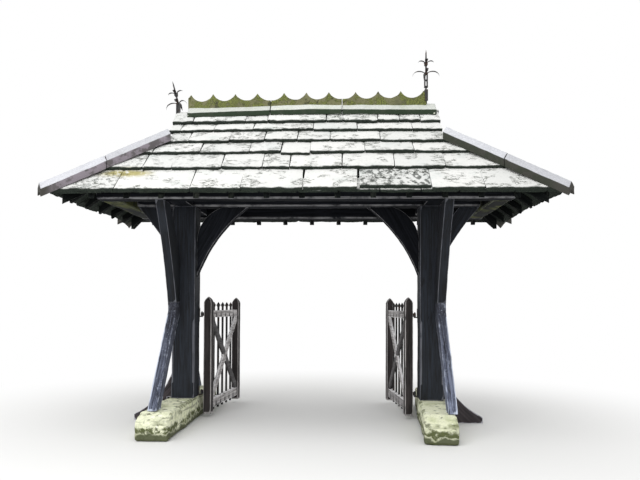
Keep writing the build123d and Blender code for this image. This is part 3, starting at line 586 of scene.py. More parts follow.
def cut_lengths(solid, limits):
    # the stones that one long solid is made of, cut between pairs of x values
    stones = []
    for limit_pair in limits:
        stone = solid.copy()
        for place_x, way in zip(limit_pair, (-1, 1)):
            made = bmesh.ops.bisect_plane(
                stone, geom=everything(stone), dist=same_place, clear_outer=True,
                plane_co=(place_x, 0, 0), plane_no=(way, 0, 0),
            )
            rim = [item for item in made["geom_cut"] if isinstance(item, bmesh.types.BMEdge)]
            if rim:
                bmesh.ops.holes_fill(stone, edges=rim, sides=0)
        stones.append(stone)
    solid.free()
    return stones


def wear_solid(shape, seed, axes, slices, ease, wander, chips, segments):
    tag = ease_edges(shape, ease, segments)
    for axis, step in zip(axes, slices):
        if step:
            slice_along(shape, axis, step)
    edge_weight = [1.0 if any(face[tag] for face in vert.link_faces) else 0.0 for vert in shape.verts]
    shape.normal_update()
    shift = Vector((seed * 3.1, seed * 1.7, seed * 2.3))
    moves = []
    for vert, weight in zip(shape.verts, edge_weight):
        spot = vert.co + shift
        move = wander * (noise.noise(spot * 2.6) + 0.5 * noise.noise(spot * 9.0))
        if weight:
            move -= chips * max(0.0, noise.noise(spot * 17.0) + 0.25 * noise.noise(spot * 41.0))
        moves.append(move)
    for vert, move in zip(shape.verts, moves):
        vert.co += vert.normal * move
    return edge_weight


def finish_mesh(name, shape, values, material, body, stands_for=(), sharp_angle=40):
    # the bmesh becomes an object that rides on a body; values are its attributes, one number a vertex
    crowded = [face for face in shape.faces if len(face.verts) > 4]
    if crowded:
        bmesh.ops.triangulate(shape, faces=crowded)
    for face in shape.faces:
        face.smooth = True
    mesh = bpy.data.meshes.new(name)
    shape.to_mesh(mesh)
    shape.free()
    mesh.set_sharp_from_angle(angle=radians(sharp_angle))
    for label, numbers in values.items():
        kind, field = ("FLOAT_VECTOR", "vector") if label == "grain" else ("FLOAT", "value")
        layer = mesh.attributes.new(label, kind, "POINT")
        layer.data.foreach_set(field, np.array(numbers, dtype=np.float32).ravel())
    piece = bpy.data.objects.new(name, mesh)
    bpy.context.scene.collection.objects.link(piece)
    mesh.materials.append(material)
    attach(piece, body)
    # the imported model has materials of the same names, so Blender adds a number to these
    if stands_for:
        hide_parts(*stands_for)
    return piece


def body_of_node(name):
    return nodes[name]["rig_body"]


def worn_piece(node, material, kind_of_wear, seed, limits=None, edge_share=None, stain=None):
    whole = bmesh.new()
    weights, grains, tones, stains = [], [], [], []
    solids = solids_of(node)
    rng = random.Random(seed)
    if limits:
        solids = cut_lengths(solids[0], limits)
    for number, solid in enumerate(solids):
        bmesh.ops.recalc_face_normals(solid, faces=solid.faces)
        axes = long_axes(solid)
        worn_and_lit = wear_solid(solid, seed + number, axes, **kind_of_wear)
        if edge_share:
            worn_and_lit = [weight * edge_share(vert.co) for weight, vert in zip(worn_and_lit, solid.verts)]
        weights += worn_and_lit
        if stain:
            stains += [stain(vert.co) for vert in solid.verts]
        start = Vector((rng.uniform(0, 9), rng.uniform(0, 9), rng.uniform(0, 9)))
        grains += [[vert.co.dot(axis) + start[i] for i, axis in enumerate(axes)] for vert in solid.verts]
        tones += [rng.random()] * len(solid.verts)
        holder = bpy.data.meshes.new("holder")
        solid.to_mesh(holder)
        solid.free()
        whole.from_mesh(holder)
        bpy.data.meshes.remove(holder)
    values = {"arris": weights, "grain": grains, "tone": tones}
    if stain:
        values["stain"] = stains
    return finish_mesh(f"{node}_worn", whole, values, material, body_of_node(node), [node])


# %% [markdown]
# ## The oak frame
# Each timber is worn in the same way, in slices of 50 to 90 mm along it and 20 to 60 mm across, which is fine
# enough for a hewn surface and still light. Rafters sit in the dark under the slates, so theirs are longer.

# %% How each kind of timber is worn
def wear(slices, ease, wander, chips, segments=2):
    # slices are the steps along the piece and across it; ease is the bevel on its edges, wander how far its
    # faces move, and chips how deep its edges are chipped, all in metres; segments are the bevel's
    return {"slices": slices, "ease": ease, "wander": wander, "chips": chips, "segments": segments}


post_wear = wear((0.06, 0.028, 0.028), 0.007, 0.004, 0.004)
beam_wear = wear((0.08, 0.04, 0.04), 0.006, 0.004, 0.004)
plate_wear = wear((0.09, 0.035, 0.035), 0.006, 0.005, 0.004)
brace_wear = wear((0.05, 0.03, 0.03), 0.005, 0.003, 0.004)
spur_wear = wear((0.05, 0.03, 0.03), 0.006, 0.004, 0.005)
strut_wear = wear((0.05, 0.02, 0.02), 0.006, 0.004, 0.005)
board_wear = wear((0.06, 0.06, 0.0), 0.003, 0.002, 0.002)
rafter_wear = wear((0.15, 0.04, 0.04), 0.003, 0.002, 0.002, segments=1)


def strut_share(corner):
    # a strut's outer front and inner back arrises are pale, worn and with a painted highlight, and the other
    # two less so
    low, high = corners_of(f"raking_strut_{corner}")
    middle_x = abs(low.x + high.x) / 2
    away = -1 if corner.startswith("front") else 1
    foot_y, head_y = (low.y, high.y) if away < 0 else (high.y, low.y)
    # a line along the middle of the strut's side, from its foot to its head
    foot = Vector((0, foot_y - away * 0.078, low.z))
    head = Vector((0, head_y + away * 0.082, high.z - 0.08))
    down_slope = head - foot
    upper_side = Vector((0, down_slope.z, -down_slope.y)) * away
    tar_line = 1.30
    inner_front, outer_back = 0.50, 0.15

    def share(spot):
        if spot.z > tar_line:
            return 0.0
        on_front = (spot - foot).dot(upper_side) > 0
        on_outside = abs(spot.x) > middle_x
        if on_front == on_outside:
            return 1.0
        return inner_front if on_front else outer_back

    return share


def strut_stain(spot):
    # the head of a strut still has its tar, which has worn thinner and thinner towards the foot
    head = clamped((spot.z - 1.27) / 0.06)
    thinning = clamped((spot.z - 0.35) / 0.95)
    return 0.70 * thinning + 0.14 * head


# %% Posts, beams, plates, braces and rafters
sides = ("left", "right")
corners = [f"{end}_{side}" for end in ("front", "back") for side in sides]
side_timbers = (
    ("post", dark_oak, post_wear), ("cross_beam", beam_oak, beam_wear), ("end_plate", end_oak, beam_wear),
    ("inner_brace", beam_oak, brace_wear), ("outer_brace", dark_oak, brace_wear),
    ("side_spur", spur_oak, spur_wear), ("gablet", dark_oak, board_wear),
)
seed = 1
for side in sides:
    for number, (timber, finish, kind_of_wear) in enumerate(side_timbers):
        worn_piece(f"{timber}_{side}", finish, kind_of_wear, seed + number)
    seed += 10
for corner in corners:
    worn_piece(f"raking_strut_{corner}", weathered_oak, strut_wear, seed, edge_share=strut_share(corner),
               stain=strut_stain)
    worn_piece(f"sway_brace_{corner}", dark_oak, brace_wear, seed + 1)
    seed += 2
for beam in ("centre_beam", "front_plate", "back_plate"):
    worn_piece(beam, beam_oak, plate_wear, seed)
    seed += 1
for carried in ("common_rafters", "jack_rafters", "end_rafters", "hip_rafters", "collars", "ridge_board"):
    worn_piece(carried, rafter_oak, rafter_wear, seed)
    seed += 1

# %% [markdown]
# ## The stones on the ground and on the roof's edges
# The plinth stones are soft sandstone, rounded by rain and feet, so they are eased and moved the most. The
# copings were sawn and are still straight.

# %% Plinths, copings and ridge
plinth_wear = wear((0.03, 0.03, 0.03), 0.030, 0.013, 0.012, segments=3)
coping_wear = wear((0.05, 0.04, 0.04), 0.008, 0.004, 0.008)
capping_wear = wear((0.05, 0.03, 0.03), 0.006, 0.005, 0.005)
crest_wear = wear((0.025, 0.025, 0.025), 0.008, 0.006, 0.006)

for side in sides:
    stone = worn_piece(f"plinth_stone_{side}", sandstone, plinth_wear, seed)
    # worn or not, it lies flat on the ground
    for vert in stone.data.vertices:
        vert.co.z = max(vert.co.z, 0.0)
    seed += 1


def damp_tip(spot):
    # the coping stones are black with damp where they reach past the eave
    dry_until, darkening_over, unevenness = 2.50, 0.16, 0.10
    return clamped((abs(spot.x) - dry_until + unevenness * noise.noise(spot * 9.0)) / darkening_over)


worn_piece("hip_copings", coping_stone, coping_wear, seed, stain=damp_tip)
cap_low, cap_high = corners_of("ridge_capping")
cap_joints = (-0.460, 0.420)
cap_gap = 0.004
past_end = 0.1
cap_limits = [
    (cap_low.x - past_end, cap_joints[0] - cap_gap),
    (cap_joints[0] + cap_gap, cap_joints[1] - cap_gap),
    (cap_joints[1] + cap_gap, cap_high.x + past_end),
]
capping = worn_piece("ridge_capping", capping_stone, capping_wear, seed + 1, limits=cap_limits)
cresting = worn_piece("ridge_cresting", mossy_stone, crest_wear, seed + 2)
# the roof has settled, and the stones along its ridge have followed it
for settled, along_x, rises in (
    (capping, [-1.48, -0.46, 0.0, 0.42, 1.56], [0.0, 0.028, 0.036, 0.034, 0.020]),
    (cresting, [-1.45, 1.45], [-0.018, 0.012]),
):
    for vert in settled.data.vertices:
        vert.co.z += float(np.interp(vert.co.x, along_x, rises))
seed += 3

# %% [markdown]
# ## The gates and the iron
# The stiles are dark. The rails and one of each pair of crossed braces are worn pale, the tops of stiles,
# rails and braces are painted paler still, as lit from above, and the rails are darker round every bar. Iron
# keeps crisp edges: its bevel is 1 to 1.5 mm.

# %% Stains and dark marks on the gates
def solid_middles(node):
    # the middle of each solid of a node
    middles = []
    for solid in solids_of(node):
        corners_now = [vert.co for vert in solid.verts]
        low = Vector([min(corner[k] for corner in corners_now) for k in range(3)])
        high = Vector([max(corner[k] for corner in corners_now) for k in range(3)])
        middles.append((low + high) / 2)
        solid.free()
    return middles


def dark_round_bars(bars, rails, pivot):
    # along a rail, measured from the hinge, it is black where a bar goes through, and less so at its top
    reaches = [(bar.xy - pivot).length for bar in bars]
    stain_reach, soft_edge, unevenness = 0.030, 0.012, 0.012
    top_from, top_share = 0.008, 0.30

    def stain(spot):
        reach = (spot.xy - pivot).length
        nearest = min(abs(reach - found) for found in reaches) + unevenness * noise.noise(spot * 25.0)
        above = min((spot.z - rail.z for rail in rails), key=abs)
        return clamped((stain_reach - nearest) / soft_edge) * (top_share if above > top_from else 1.0)

    return stain


def crossed_stain(node, pivot):
    # of the two diagonals, the one from the hinge side's top to the meeting side's foot is still dark
    low, high = corners_of(node)
    reaches = [(vert.co.xy - pivot).length for vert in nodes[node].data.vertices]
    near, far = min(reaches), max(reaches)
    tar_left, overlap = 0.90, 0.02

    def stain(spot):
        along = ((spot.xy - pivot).length - near) / (far - near)
        height = (spot.z - low.z) / (high.z - low.z)
        off_dark, off_pale = abs(along + height - 1), abs(along - height)
        return tar_left if off_dark < off_pale - overlap else 0.0

    return stain


# %% Gates and hinges
stile_wear = wear((0.05, 0.02, 0.02), 0.006, 0.002, 0.003)
rail_wear = wear((0.014, 0.02, 0.02), 0.005, 0.002, 0.003)
cross_wear = wear((0.03, 0.02, 0.02), 0.004, 0.0015, 0.003)
bar_wear = wear((0.1, 0.0, 0.0), 0.0015, 0.001, 0.0, segments=1)
band_wear = wear((0.05, 0.0, 0.0), 0.001, 0.0004, 0.0, segments=1)
pale_edge_cut_on_tar = 0.45

for side in sides:
    gate = f"{side}_gate"
    pivot = solid_middles(f"gate_pintles_{side}")[0].xy
    darkening_round_bars = dark_round_bars(solid_middles(f"{gate}_bars"), solid_middles(f"{gate}_rails"), pivot)
    tarred = crossed_stain(f"{gate}_cross_brace", pivot)
    worn_piece(f"{gate}_stiles", gate_oak, stile_wear, seed)
    worn_piece(f"{gate}_rails", rail_oak, rail_wear, seed + 1, stain=darkening_round_bars)
    worn_piece(f"{gate}_cross_brace", rail_oak, cross_wear, seed + 2,
               edge_share=lambda spot: 1.0 - pale_edge_cut_on_tar * tarred(spot), stain=tarred)
    worn_piece(f"{gate}_bars", wrought_iron, bar_wear, seed + 3)
    worn_piece(f"{gate}_hinge_bands", wrought_iron, band_wear, seed + 4)
    worn_piece(f"gate_pintles_{side}", wrought_iron, band_wear, seed + 5)
    seed += 7

# %% [markdown]
# ## Pegs and rivets
# Oak frames are pinned with cleft oak pegs that stand a few millimetres proud, and the hinge bands are held
# by hammered rivets. Both are short eight-sided studs, made by one helper, gathered into one mesh a body.

# %% One stud
stud_sunk = 0.006
stud_taper = 0.72


def add_stud(shape, spot, outward, radius, proud):
    turned = Vector(outward).to_track_quat("Z", "Y").to_matrix().to_4x4()
    turned.translation = Vector(spot) + Vector(outward) * (proud - stud_sunk) / 2
    bmesh.ops.create_cone(
        shape, segments=8, radius1=radius, radius2=radius * stud_taper, depth=proud + stud_sunk,
        cap_ends=True, matrix=turned,
    )


def finish_small_work(name, shape, material, node, arris, tone, **settings):
    spots = [vert.co[:] for vert in shape.verts]
    values = {"arris": [arris] * len(spots), "grain": spots, "tone": [tone] * len(spots)}
    finish_mesh(name, shape, values, material, body_of_node(node), **settings)


# %% Pegs in the posts
peg_radius, peg_proud = 0.012, 0.008
# how far inward of the post's middle each pair of pegs stands, and at what heights
peg_places = ((0.085, (1.86, 2.08)), (-0.085, (2.04, 2.16)))
peg_shape = bmesh.new()
for side in sides:
    low, high = corners_of(f"post_{side}")
    inward = 1 if side == "left" else -1
    middle_x = (low.x + high.x) / 2
    for offset, heights in peg_places:
        for height in heights:
            for face_y, way in ((low.y, -1), (high.y, 1)):
                spot = (middle_x + inward * offset, face_y, height)
                add_stud(peg_shape, spot, (0, way, 0), peg_radius, peg_proud)
finish_small_work("post_pegs", peg_shape, dark_oak, "post_left", 0.6, 0.2)

# %% Rivets in the hinge bands
rivet_radius, rivet_proud = 0.006, 0.003
rivet_places = (-0.08, 0.14, 0.36)
for side in sides:
    bands = f"{side}_gate_hinge_bands"
    rivet_shape = bmesh.new()
    for band in solids_of(bands):
        axes = long_axes(band)
        reach = [[vert.co.dot(axis) for vert in band.verts] for axis in axes]
        middle = sum((axis * (min(found) + max(found)) / 2 for axis, found in zip(axes, reach)), Vector())
        length = max(reach[0]) - min(reach[0])
        half_thick = (max(reach[2]) - min(reach[2])) / 2
        for share in rivet_places:
            for way in (-1, 1):
                spot = middle + axes[0] * length * share + axes[2] * half_thick * way
                add_stud(rivet_shape, spot, axes[2] * way, rivet_radius, rivet_proud)
        band.free()
    finish_small_work(f"{side}_gate_rivets", rivet_shape, wrought_iron, bands, 0.6, 0.2)

# %% [markdown]
# ## Finials, forged by hand
# A smith draws iron out: a bar is heated, made longer and thinner, and bent. The helper does the same with a
# ring of vertices that is extruded from station to station, each with its own place, width and thickness.
# A square ring makes a bar, and a diamond one makes a leaf with a rib down its middle.

# %% One forged bar
corner_reach = 1.4142


def forge_bar(shape, stations, leaf=False):
    # a station is its centre, the direction of its width, that of its thickness, and half of each
    ring = bmesh.ops.create_circle(shape, cap_ends=True, segments=4, radius=1.0)["verts"]
    turned = Matrix.Rotation(0.0 if leaf else radians(45), 3, "Z")
    fill = 1.0 if leaf else corner_reach
    end = ring[0].link_faces[0]
    corners_now = {vert: turned @ vert.co * fill for vert in ring}

    def rounded(vert):
        return tuple(round(number, 7) for number in vert.co)

    def put(station):
        centre, across, facing_way, half_width, half_thick = station
        for vert, corner in corners_now.items():
            vert.co = centre + across * corner.x * half_width + facing_way * corner.y * half_thick

    put(stations[0])
    for station in stations[1:]:
        before = {rounded(vert): corner for vert, corner in corners_now.items()}
        made = bmesh.ops.extrude_face_region(shape, geom=[end])
        fresh = [item for item in made["geom"] if isinstance(item, bmesh.types.BMVert)]
        end = next(item for item in made["geom"] if isinstance(item, bmesh.types.BMFace))
        corners_now = {vert: before[rounded(vert)] for vert in fresh}
        put(station)


# %% One leaf
def bent_points(start, lift, sag, tip, count=9):
    # a smooth bend from start to tip, pulled by two handles
    points = []
    for i in range(count):
        t = i / (count - 1)
        near_tip = sag * 3 * t * t * (1 - t) + tip * t ** 3
        points.append(start * (1 - t) ** 3 + lift * 3 * t * (1 - t) ** 2 + near_tip)
    return points


def forge_leaf(shape, matrix, way, base, reach, rise, tip_rise):
    # a blade that springs from the shaft, broadens, and curls down to its point
    rooted = 0.012
    points = bent_points(
        Vector((0, 0, base - rooted)), Vector((0.30 * reach, 0, base + 1.9 * rise)),
        Vector((0.95 * reach, 0, base + 1.5 * rise)), Vector((reach, 0, base + tip_rise)),
    )
    turn = Matrix.Rotation(atan2(way[1], way[0]), 3, "Z")
    across = turn @ Vector((0, 1, 0))
    stations = []
    for i, point in enumerate(points):
        t = i / (len(points) - 1)
        ahead = (points[min(i + 1, len(points) - 1)] - points[max(i - 1, 0)]).normalized()
        facing_way = turn @ Vector((-ahead.z, 0, ahead.x))
        # broadest in its middle, and drawn to a point over the last of it
        blade = 0.007 + 0.012 * sin(radians(180) * min(1.0, t * 1.15))
        point_width = 0.008 * (1.02 - t) / 0.17
        stations.append((
            matrix @ (turn @ point), matrix.to_3x3() @ across, matrix.to_3x3() @ facing_way,
            max(blade if t < 0.85 else point_width, 0.0008), max(0.0060 * (1.10 - t), 0.0010),
        ))
    forge_bar(shape, stations, leaf=True)


# %% Both finials
saddle = 0.041
# the strap over the ridge stones: how far outside the saddle, and how high, from its foot to its shoulder
half_strap = [(0.012, 0.002), (0.003, 0.012), (0.0, 0.030), (0.0, 0.132), (-0.008, 0.145), (-0.020, 0.149)]
strap = [(-(saddle + out), z) for out, z in half_strap] + [(saddle + out, z) for out, z in half_strap[::-1]]
strap_width, strap_thickness = 0.019, 0.0035
cage_bar_offset = 0.0145
# collars round the cage: from, to, and half width
collars = ((0.182, 0.196, 0.0225), (0.264, 0.274, 0.0215), (0.344, 0.359, 0.0225))
# the head's shaft with its knop: how high, and half how wide
head_profile = [
    (0.0, 0.0105), (0.060, 0.0095), (0.090, 0.0090), (0.098, 0.0150), (0.108, 0.0200), (0.118, 0.0205),
    (0.128, 0.0150), (0.136, 0.0090), (0.200, 0.0080), (0.250, 0.0070), (0.2935, 0.0012),
]
head_foot = 0.353
x_axis, y_axis, z_axis = Vector((1, 0, 0)), Vector((0, 1, 0)), Vector((0, 0, 1))
cap_middle_y = (cap_low.y + cap_high.y) / 2


def forged_finial(node, x, foot, lean, cage_bar, inner_reach, outer_reach=0.165):
    shape = bmesh.new()
    stations = []
    for i, (y, z) in enumerate(strap):
        before, after = strap[max(i - 1, 0)], strap[min(i + 1, len(strap) - 1)]
        ahead = Vector((0, after[0] - before[0], after[1] - before[1])).normalized()
        facing_way = Vector((0, -ahead.z, ahead.y))
        centre = Vector((x, y + cap_middle_y, foot + z))
        stations.append((centre, x_axis, facing_way, strap_width, strap_thickness))
    forge_bar(shape, stations)
    for z in (0.050, 0.105):
        for way in (-1, 1):
            spot = (x, cap_middle_y + way * (saddle + 0.003), foot + z)
            add_stud(shape, spot, (0, way, 0), 0.007, 0.004)

    def upright(low, high, half, dx=0.0, dy=0.0):
        centre = Vector((x + dx, cap_middle_y + dy, foot))
        forge_bar(shape, [(centre + z_axis * z, x_axis, y_axis, half, half) for z in (low, high)])

    # the neck, and the cage of four bars between its collars
    upright(0.146, 0.190, 0.0085)
    for dx in (-cage_bar_offset, cage_bar_offset):
        for dy in (-cage_bar_offset, cage_bar_offset):
            upright(0.186, 0.356, cage_bar, dx, dy)
    for low, high, half in collars:
        upright(low, high, half)

    # the head, which leans on the slipped one
    matrix = Matrix.Translation((x, cap_middle_y, foot + head_foot)) @ Matrix.Rotation(radians(-lean), 4, "Y")
    turn = matrix.to_3x3()
    forge_bar(shape, [
        (matrix @ Vector((0, 0, z)), turn @ x_axis, turn @ y_axis, half, half) for z, half in head_profile
    ])
    for way in ((1, 0), (-1, 0), (0, 1), (0, -1)):
        toward_ridge = way[0] * x < 0
        forge_leaf(shape, matrix, way, 0.006, inner_reach if toward_ridge else outer_reach, 0.022, -0.040)
        forge_leaf(shape, matrix, way, 0.130, 0.095, 0.022, 0.008)
    bmesh.ops.recalc_face_normals(shape, faces=shape.faces)
    finish_small_work(
        f"{node}_forged", shape, wrought_iron, node, 0.5, 0.3, stands_for=[node], sharp_angle=30)


low, high = corners_of("finial_left")
forged_finial("finial_left", -1.620, low.z, lean=15.0, cage_bar=0.0085, inner_reach=0.105)
low, high = corners_of("finial_right")
forged_finial("finial_right", (low.x + high.x) / 2, low.z, lean=0.0, cage_bar=0.0065, inner_reach=0.165)

# %% [markdown]
# ## The roof's planes
# A slate is easiest to make lying flat, with x along the eave, y up the slope and z out of it. One matrix a
# slope then lifts it onto the roof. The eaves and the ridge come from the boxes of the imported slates.

# %% Four slopes and their matrices
slate_bed = 0.060
slate_step = 0.034
course_exposures = [0.398, 0.318, 0.248, 0.242, 0.201]
main_pitch = radians(45)
hip_top_x, hip_top_y = 1.600, 0.400

front_low, front_high = corners_of("front_slates")
back_high = corners_of("back_slates")[1]
middle_y = (front_low.y + back_high.y) / 2
eave_half_depth = (back_high.y - front_low.y) / 2
eave_half_length = front_high.x
ridge_z = front_high.z
eave_z = ridge_z - eave_half_depth
hip_run_x = eave_half_length - hip_top_x
hip_run_y = eave_half_depth - hip_top_y
end_pitch = atan2(hip_run_y, hip_run_x)


def slope_matrix(across, inward, half, pitch):
    # x along the eave, y up the slope, z outwards; the origin is on the bed, under the middle of the eave
    up_slope = Vector((inward.x * cos(pitch), inward.y * cos(pitch), sin(pitch)))
    out = across.cross(up_slope)
    origin = Vector((0, middle_y, eave_z)) - inward * half - out * slate_bed
    lifted = Matrix((across, up_slope, out)).transposed().to_4x4()
    lifted.translation = origin
    return lifted


slopes = {
    "front": slope_matrix(x_axis, y_axis, eave_half_depth, main_pitch),
    "back": slope_matrix(-x_axis, -y_axis, eave_half_depth, main_pitch),
    "right": slope_matrix(y_axis, -x_axis, eave_half_length, end_pitch),
    "left": slope_matrix(-y_axis, x_axis, eave_half_length, end_pitch),
}
print("roof:", round(2 * eave_half_length, 3), "by", round(2 * eave_half_depth, 3), "and", round(ridge_z, 3))

# %% [markdown]
# ## Slates, one by one
# A stone slate is a riven slab, about 40 mm thick and thinner at the eave. It starts as a grid, its outline
# is roughened, its surface waves a little, and it is extruded down to its thickness. Courses get shorter up
# the roof. On the front the joints stand where the photograph shows them, and elsewhere they are drawn at
# random from a seed, and so seldom stand over the joints below.

# %% One slate
slate_cell = 0.032
least_width = 0.006
rough_rim = 0.05
worn_rim = 0.02


def add_slate(shape, matrix, left, right, limit, tail, head, tail_height, head_height, thickness, rng, turn):
    across = max(4, round((right - left) / slate_cell))
    upward = max(4, round((head - tail) / slate_cell))
    grid = bmesh.ops.create_grid(shape, x_segments=across, y_segments=upward, size=0.5)["verts"]
    faces = {face for vert in grid for face in vert.link_faces}
    shift = Vector((rng.uniform(0, 50), rng.uniform(0, 50), rng.uniform(0, 50)))
    tip = rng.uniform(-0.003, 0.003)
    skew = rng.uniform(-0.010, 0.010)
    # how dark each vertex is painted, from 0 inside to 1.3 under the slate: moss along the sides, and moss
    # with painted shade along the tail and on the riser, for the shadow under each course
    moss_and_shade_rims = {}
    length = head - tail
    corner_chip = [rng.uniform(0.0, 0.03) if rng.random() < 0.5 else 0.0 for _ in range(2)]
    for vert in grid:
        u, v = vert.co.x + 0.5, vert.co.y + 0.5
        y = tail + v * length
        # the side by a hip follows it
        reach = limit(y)
        low = min(max(left + skew * v, -reach), reach - least_width)
        high = max(min(right + skew * v, reach), low + least_width)
        width = high - low
        x = low + u * width
        spot = Vector((x, y, 0)) + shift
        to_side = min(u, 1 - u) * width
        near_side = max(0.0, 1 - to_side / rough_rim)
        near_tail = max(0.0, 1 - v * length / rough_rim)
        if width > 2 * rough_rim:
            x += (1 if u < 0.5 else -1) * near_side * (0.001 + 0.005 * (noise.noise(spot * 11) * 0.5 + 0.5))
        y += near_tail * (0.010 * noise.noise(spot * 6) + 0.006 * noise.noise(spot * 23))
        chip = corner_chip[0] if u < 0.5 else corner_chip[1]
        if chip and to_side < chip and v * length < chip:
            y += (chip - to_side) * 0.7
        rim = min(to_side, v * length, (1 - v) * length)
        height = tail_height + (head_height - tail_height) * v + tip * (u - 0.5) * 2
        height += 0.0035 * noise.noise(spot * 3.2) + 0.0018 * noise.noise(spot * 11)
        height -= 0.005 * max(0.0, 1 - rim / worn_rim)
        moss_and_shade_rims[vert] = max(1.10 - v * length / 0.080, 0.72 * (1 - to_side / 0.03), 0.0)
        vert.co = Vector((x, y, height))
    made = bmesh.ops.extrude_face_region(shape, geom=list(faces))
    lower = [item for item in made["geom"] if isinstance(item, bmesh.types.BMVert)]
    for vert in lower:
        vert.co.z -= thickness
        moss_and_shade_rims[vert] = 1.3
    every = grid + lower
    spots = {vert: vert.co.xy.copy() for vert in every}
    pivot = Vector(((left + right) / 2, tail, 0))
    bmesh.ops.rotate(shape, verts=every, cent=pivot, matrix=Matrix.Rotation(turn, 3, "Z"))
    bmesh.ops.transform(shape, matrix=matrix, verts=every)
    return every, moss_and_shade_rims, spots


# %% Courses and joints
# where the joints of the front's courses stand, in metres from its middle, from the eave up
front_joints = [
    [-1.98, -1.17, -0.64, 0.01, 0.58, 1.35, 1.90],
    [-1.77, -1.45, -0.90, -0.45, -0.15, 0.42, 0.99, 1.54],
    [-1.73, -1.19, -0.63, -0.27, 0.06, 0.68, 1.23],
    [-1.37, -0.89, -0.48, -0.10, 0.28, 0.86],
    [-1.51, -1.11, -0.64, -0.29, 0.08, 0.60, 1.25],
    [-1.39, -0.75, -0.48, 0.23, 0.43, 0.85, 1.11, 1.36],
]
course_starts = [sum(course_exposures[:i]) for i in range(len(course_exposures) + 1)]
lap = 0.055
open_joint = 0.001
# the roof has settled: its ridge stands up to 22 mm higher in the middle than at its left end
ridge_line_x = [-1.60, -0.46, 0.0, 0.42, 1.60]
slate_rise = [0.0, 0.018, 0.022, 0.022, 0.010]


def random_joints(half, rng, widest):
    joints = []
    x = -half + rng.uniform(0.25, 0.5) * widest
    while x < half - 0.2 * widest:
        joints.append(x)
        x += rng.uniform(0.65, 1.15) * widest
    return joints


print("joints in the front's courses:", [len(course) for course in front_joints])


# %% Lay one slope
def yellow_lichen(spot):
    # a crust that has spread on the front's first course, near the left hip
    off_x = abs(spot.x + 1.93) / 0.34
    off_y = abs(spot.y - 0.330) / 0.095
    return min(1.0, 2.4 * (1 - off_x) * (1 - off_y)) if off_x < 1 and off_y < 1 else 0.0


def lay_slope(name, rng, slope_length, half_eave, run_ratio, starts, set_joints=None, verge=0.0,
              ragged=0.0, slipped=None, left_overhang=0.0):
    shape = bmesh.new()
    labels = ("arris", "tone", "growth", "yellow")
    layers = {label: shape.verts.layers.float.new(f"{label}_now") for label in labels}
    count = 0

    def limit(y):
        return max(half_eave - y * run_ratio, verge, 0.004)

    def lay(left, right, tail, head, tail_height, head_height, thickness, growth, past_verge=0.0):
        made, moss_and_shade_rims, spots = add_slate(
            shape, slopes[name], left, right, lambda y: limit(y) + past_verge, tail, head, tail_height,
            head_height, thickness, rng, turn=rng.uniform(-0.008, 0.008),
        )
        tone = rng.random()
        for vert in made:
            vert[layers["arris"]] = moss_and_shade_rims[vert]
            vert[layers["tone"]] = tone
            vert[layers["growth"]] = growth
            vert[layers["yellow"]] = yellow_lichen(spots[vert]) if name == "front" else 0.0

    for course, tail in enumerate(starts):
        last = course == len(starts) - 1
        next_tail = slope_length if last else starts[course + 1]
        head = slope_length if last else min(next_tail + lap, slope_length)
        half = limit(tail)
        widest = (0.36 if ragged and course == 0 else 0.62) - 0.06 * course
        joints = set_joints[course] if set_joints else random_joints(half, rng, widest)
        edges = [-half] + [x for x in joints if abs(x) < half - 0.04] + [half]
        fall = 0.0 if last else slate_step / (next_tail - tail)
        for number, (left, right) in enumerate(zip(edges, edges[1:])):
            thickness = rng.uniform(0.030, 0.034) if course == 0 else rng.uniform(0.036, 0.042)
            lift = rng.uniform(-0.002, 0.004)
            drop = rng.uniform(-0.012, 0.008)
            growth = rng.random() ** 3 * 0.6
            if ragged and course == 0:
                drop = rng.uniform(-ragged, ragged * 0.6)
            if slipped and (course, number) in slipped:
                extra_drop, extra_left, growth = slipped[(course, number)]
                drop += extra_drop
                left += extra_left
            past_verge = left_overhang if number == 0 and tail * run_ratio > half_eave - verge else 0.0
            lay(left - past_verge + open_joint, right - open_joint, tail + drop, head,
                slate_bed + lift, slate_bed + lift - fall * (head - tail), thickness, growth, past_verge)
            count += 1
    # the short undercourse that doubles the eave
    undercourse = [-limit(0.0)] + random_joints(limit(0.0), rng, 0.5) + [limit(0.0)]
    for left, right in zip(undercourse, undercourse[1:]):
        set_back = rng.uniform(-ragged, ragged) * 0.6 if ragged else rng.uniform(0.0, 0.012)
        lay(left + 2 * open_joint, right - 2 * open_joint, set_back, 0.24, 0.025, 0.022, 0.022, 0.2)
        count += 1
    if verge:
        # the two long slopes follow the settled ridge
        for vert in shape.verts:
            up_the_roof = (vert.co.z - eave_z) / (ridge_z - eave_z)
            vert.co.z += float(np.interp(vert.co.x, ridge_line_x, slate_rise)) * max(0.0, up_the_roof) ** 2
    bmesh.ops.recalc_face_normals(shape, faces=shape.faces)
    values = {label: [vert[layer] for vert in shape.verts] for label, layer in layers.items()}
    node = f"{name}_slates"
    piece = finish_mesh(f"{name}_stone_slates", shape, values, stone_slates, "frame", [node])
    print(name, "slates:", count, "faces:", len(piece.data.polygons))


# %% Lay the four slopes
rng = random.Random(41)
above_hips = ridge_z - hip_top_y + 0.08
verge = max(abs(vert.co.x) for vert in nodes["front_slates"].data.vertices if vert.co.z > above_hips)
print("verge at", round(verge, 3))
long_slope = {
    "slope_length": eave_half_depth / cos(main_pitch), "half_eave": eave_half_length, "starts": course_starts,
    "run_ratio": cos(main_pitch) * hip_run_x / hip_run_y, "verge": verge,
}
short_slope = {
    "slope_length": hip_run_x / cos(end_pitch), "half_eave": eave_half_depth,
    "starts": [start * sin(main_pitch) / sin(end_pitch) for start in course_starts[:4]],
    "run_ratio": cos(end_pitch) * hip_run_y / hip_run_x, "ragged": 0.03,
}
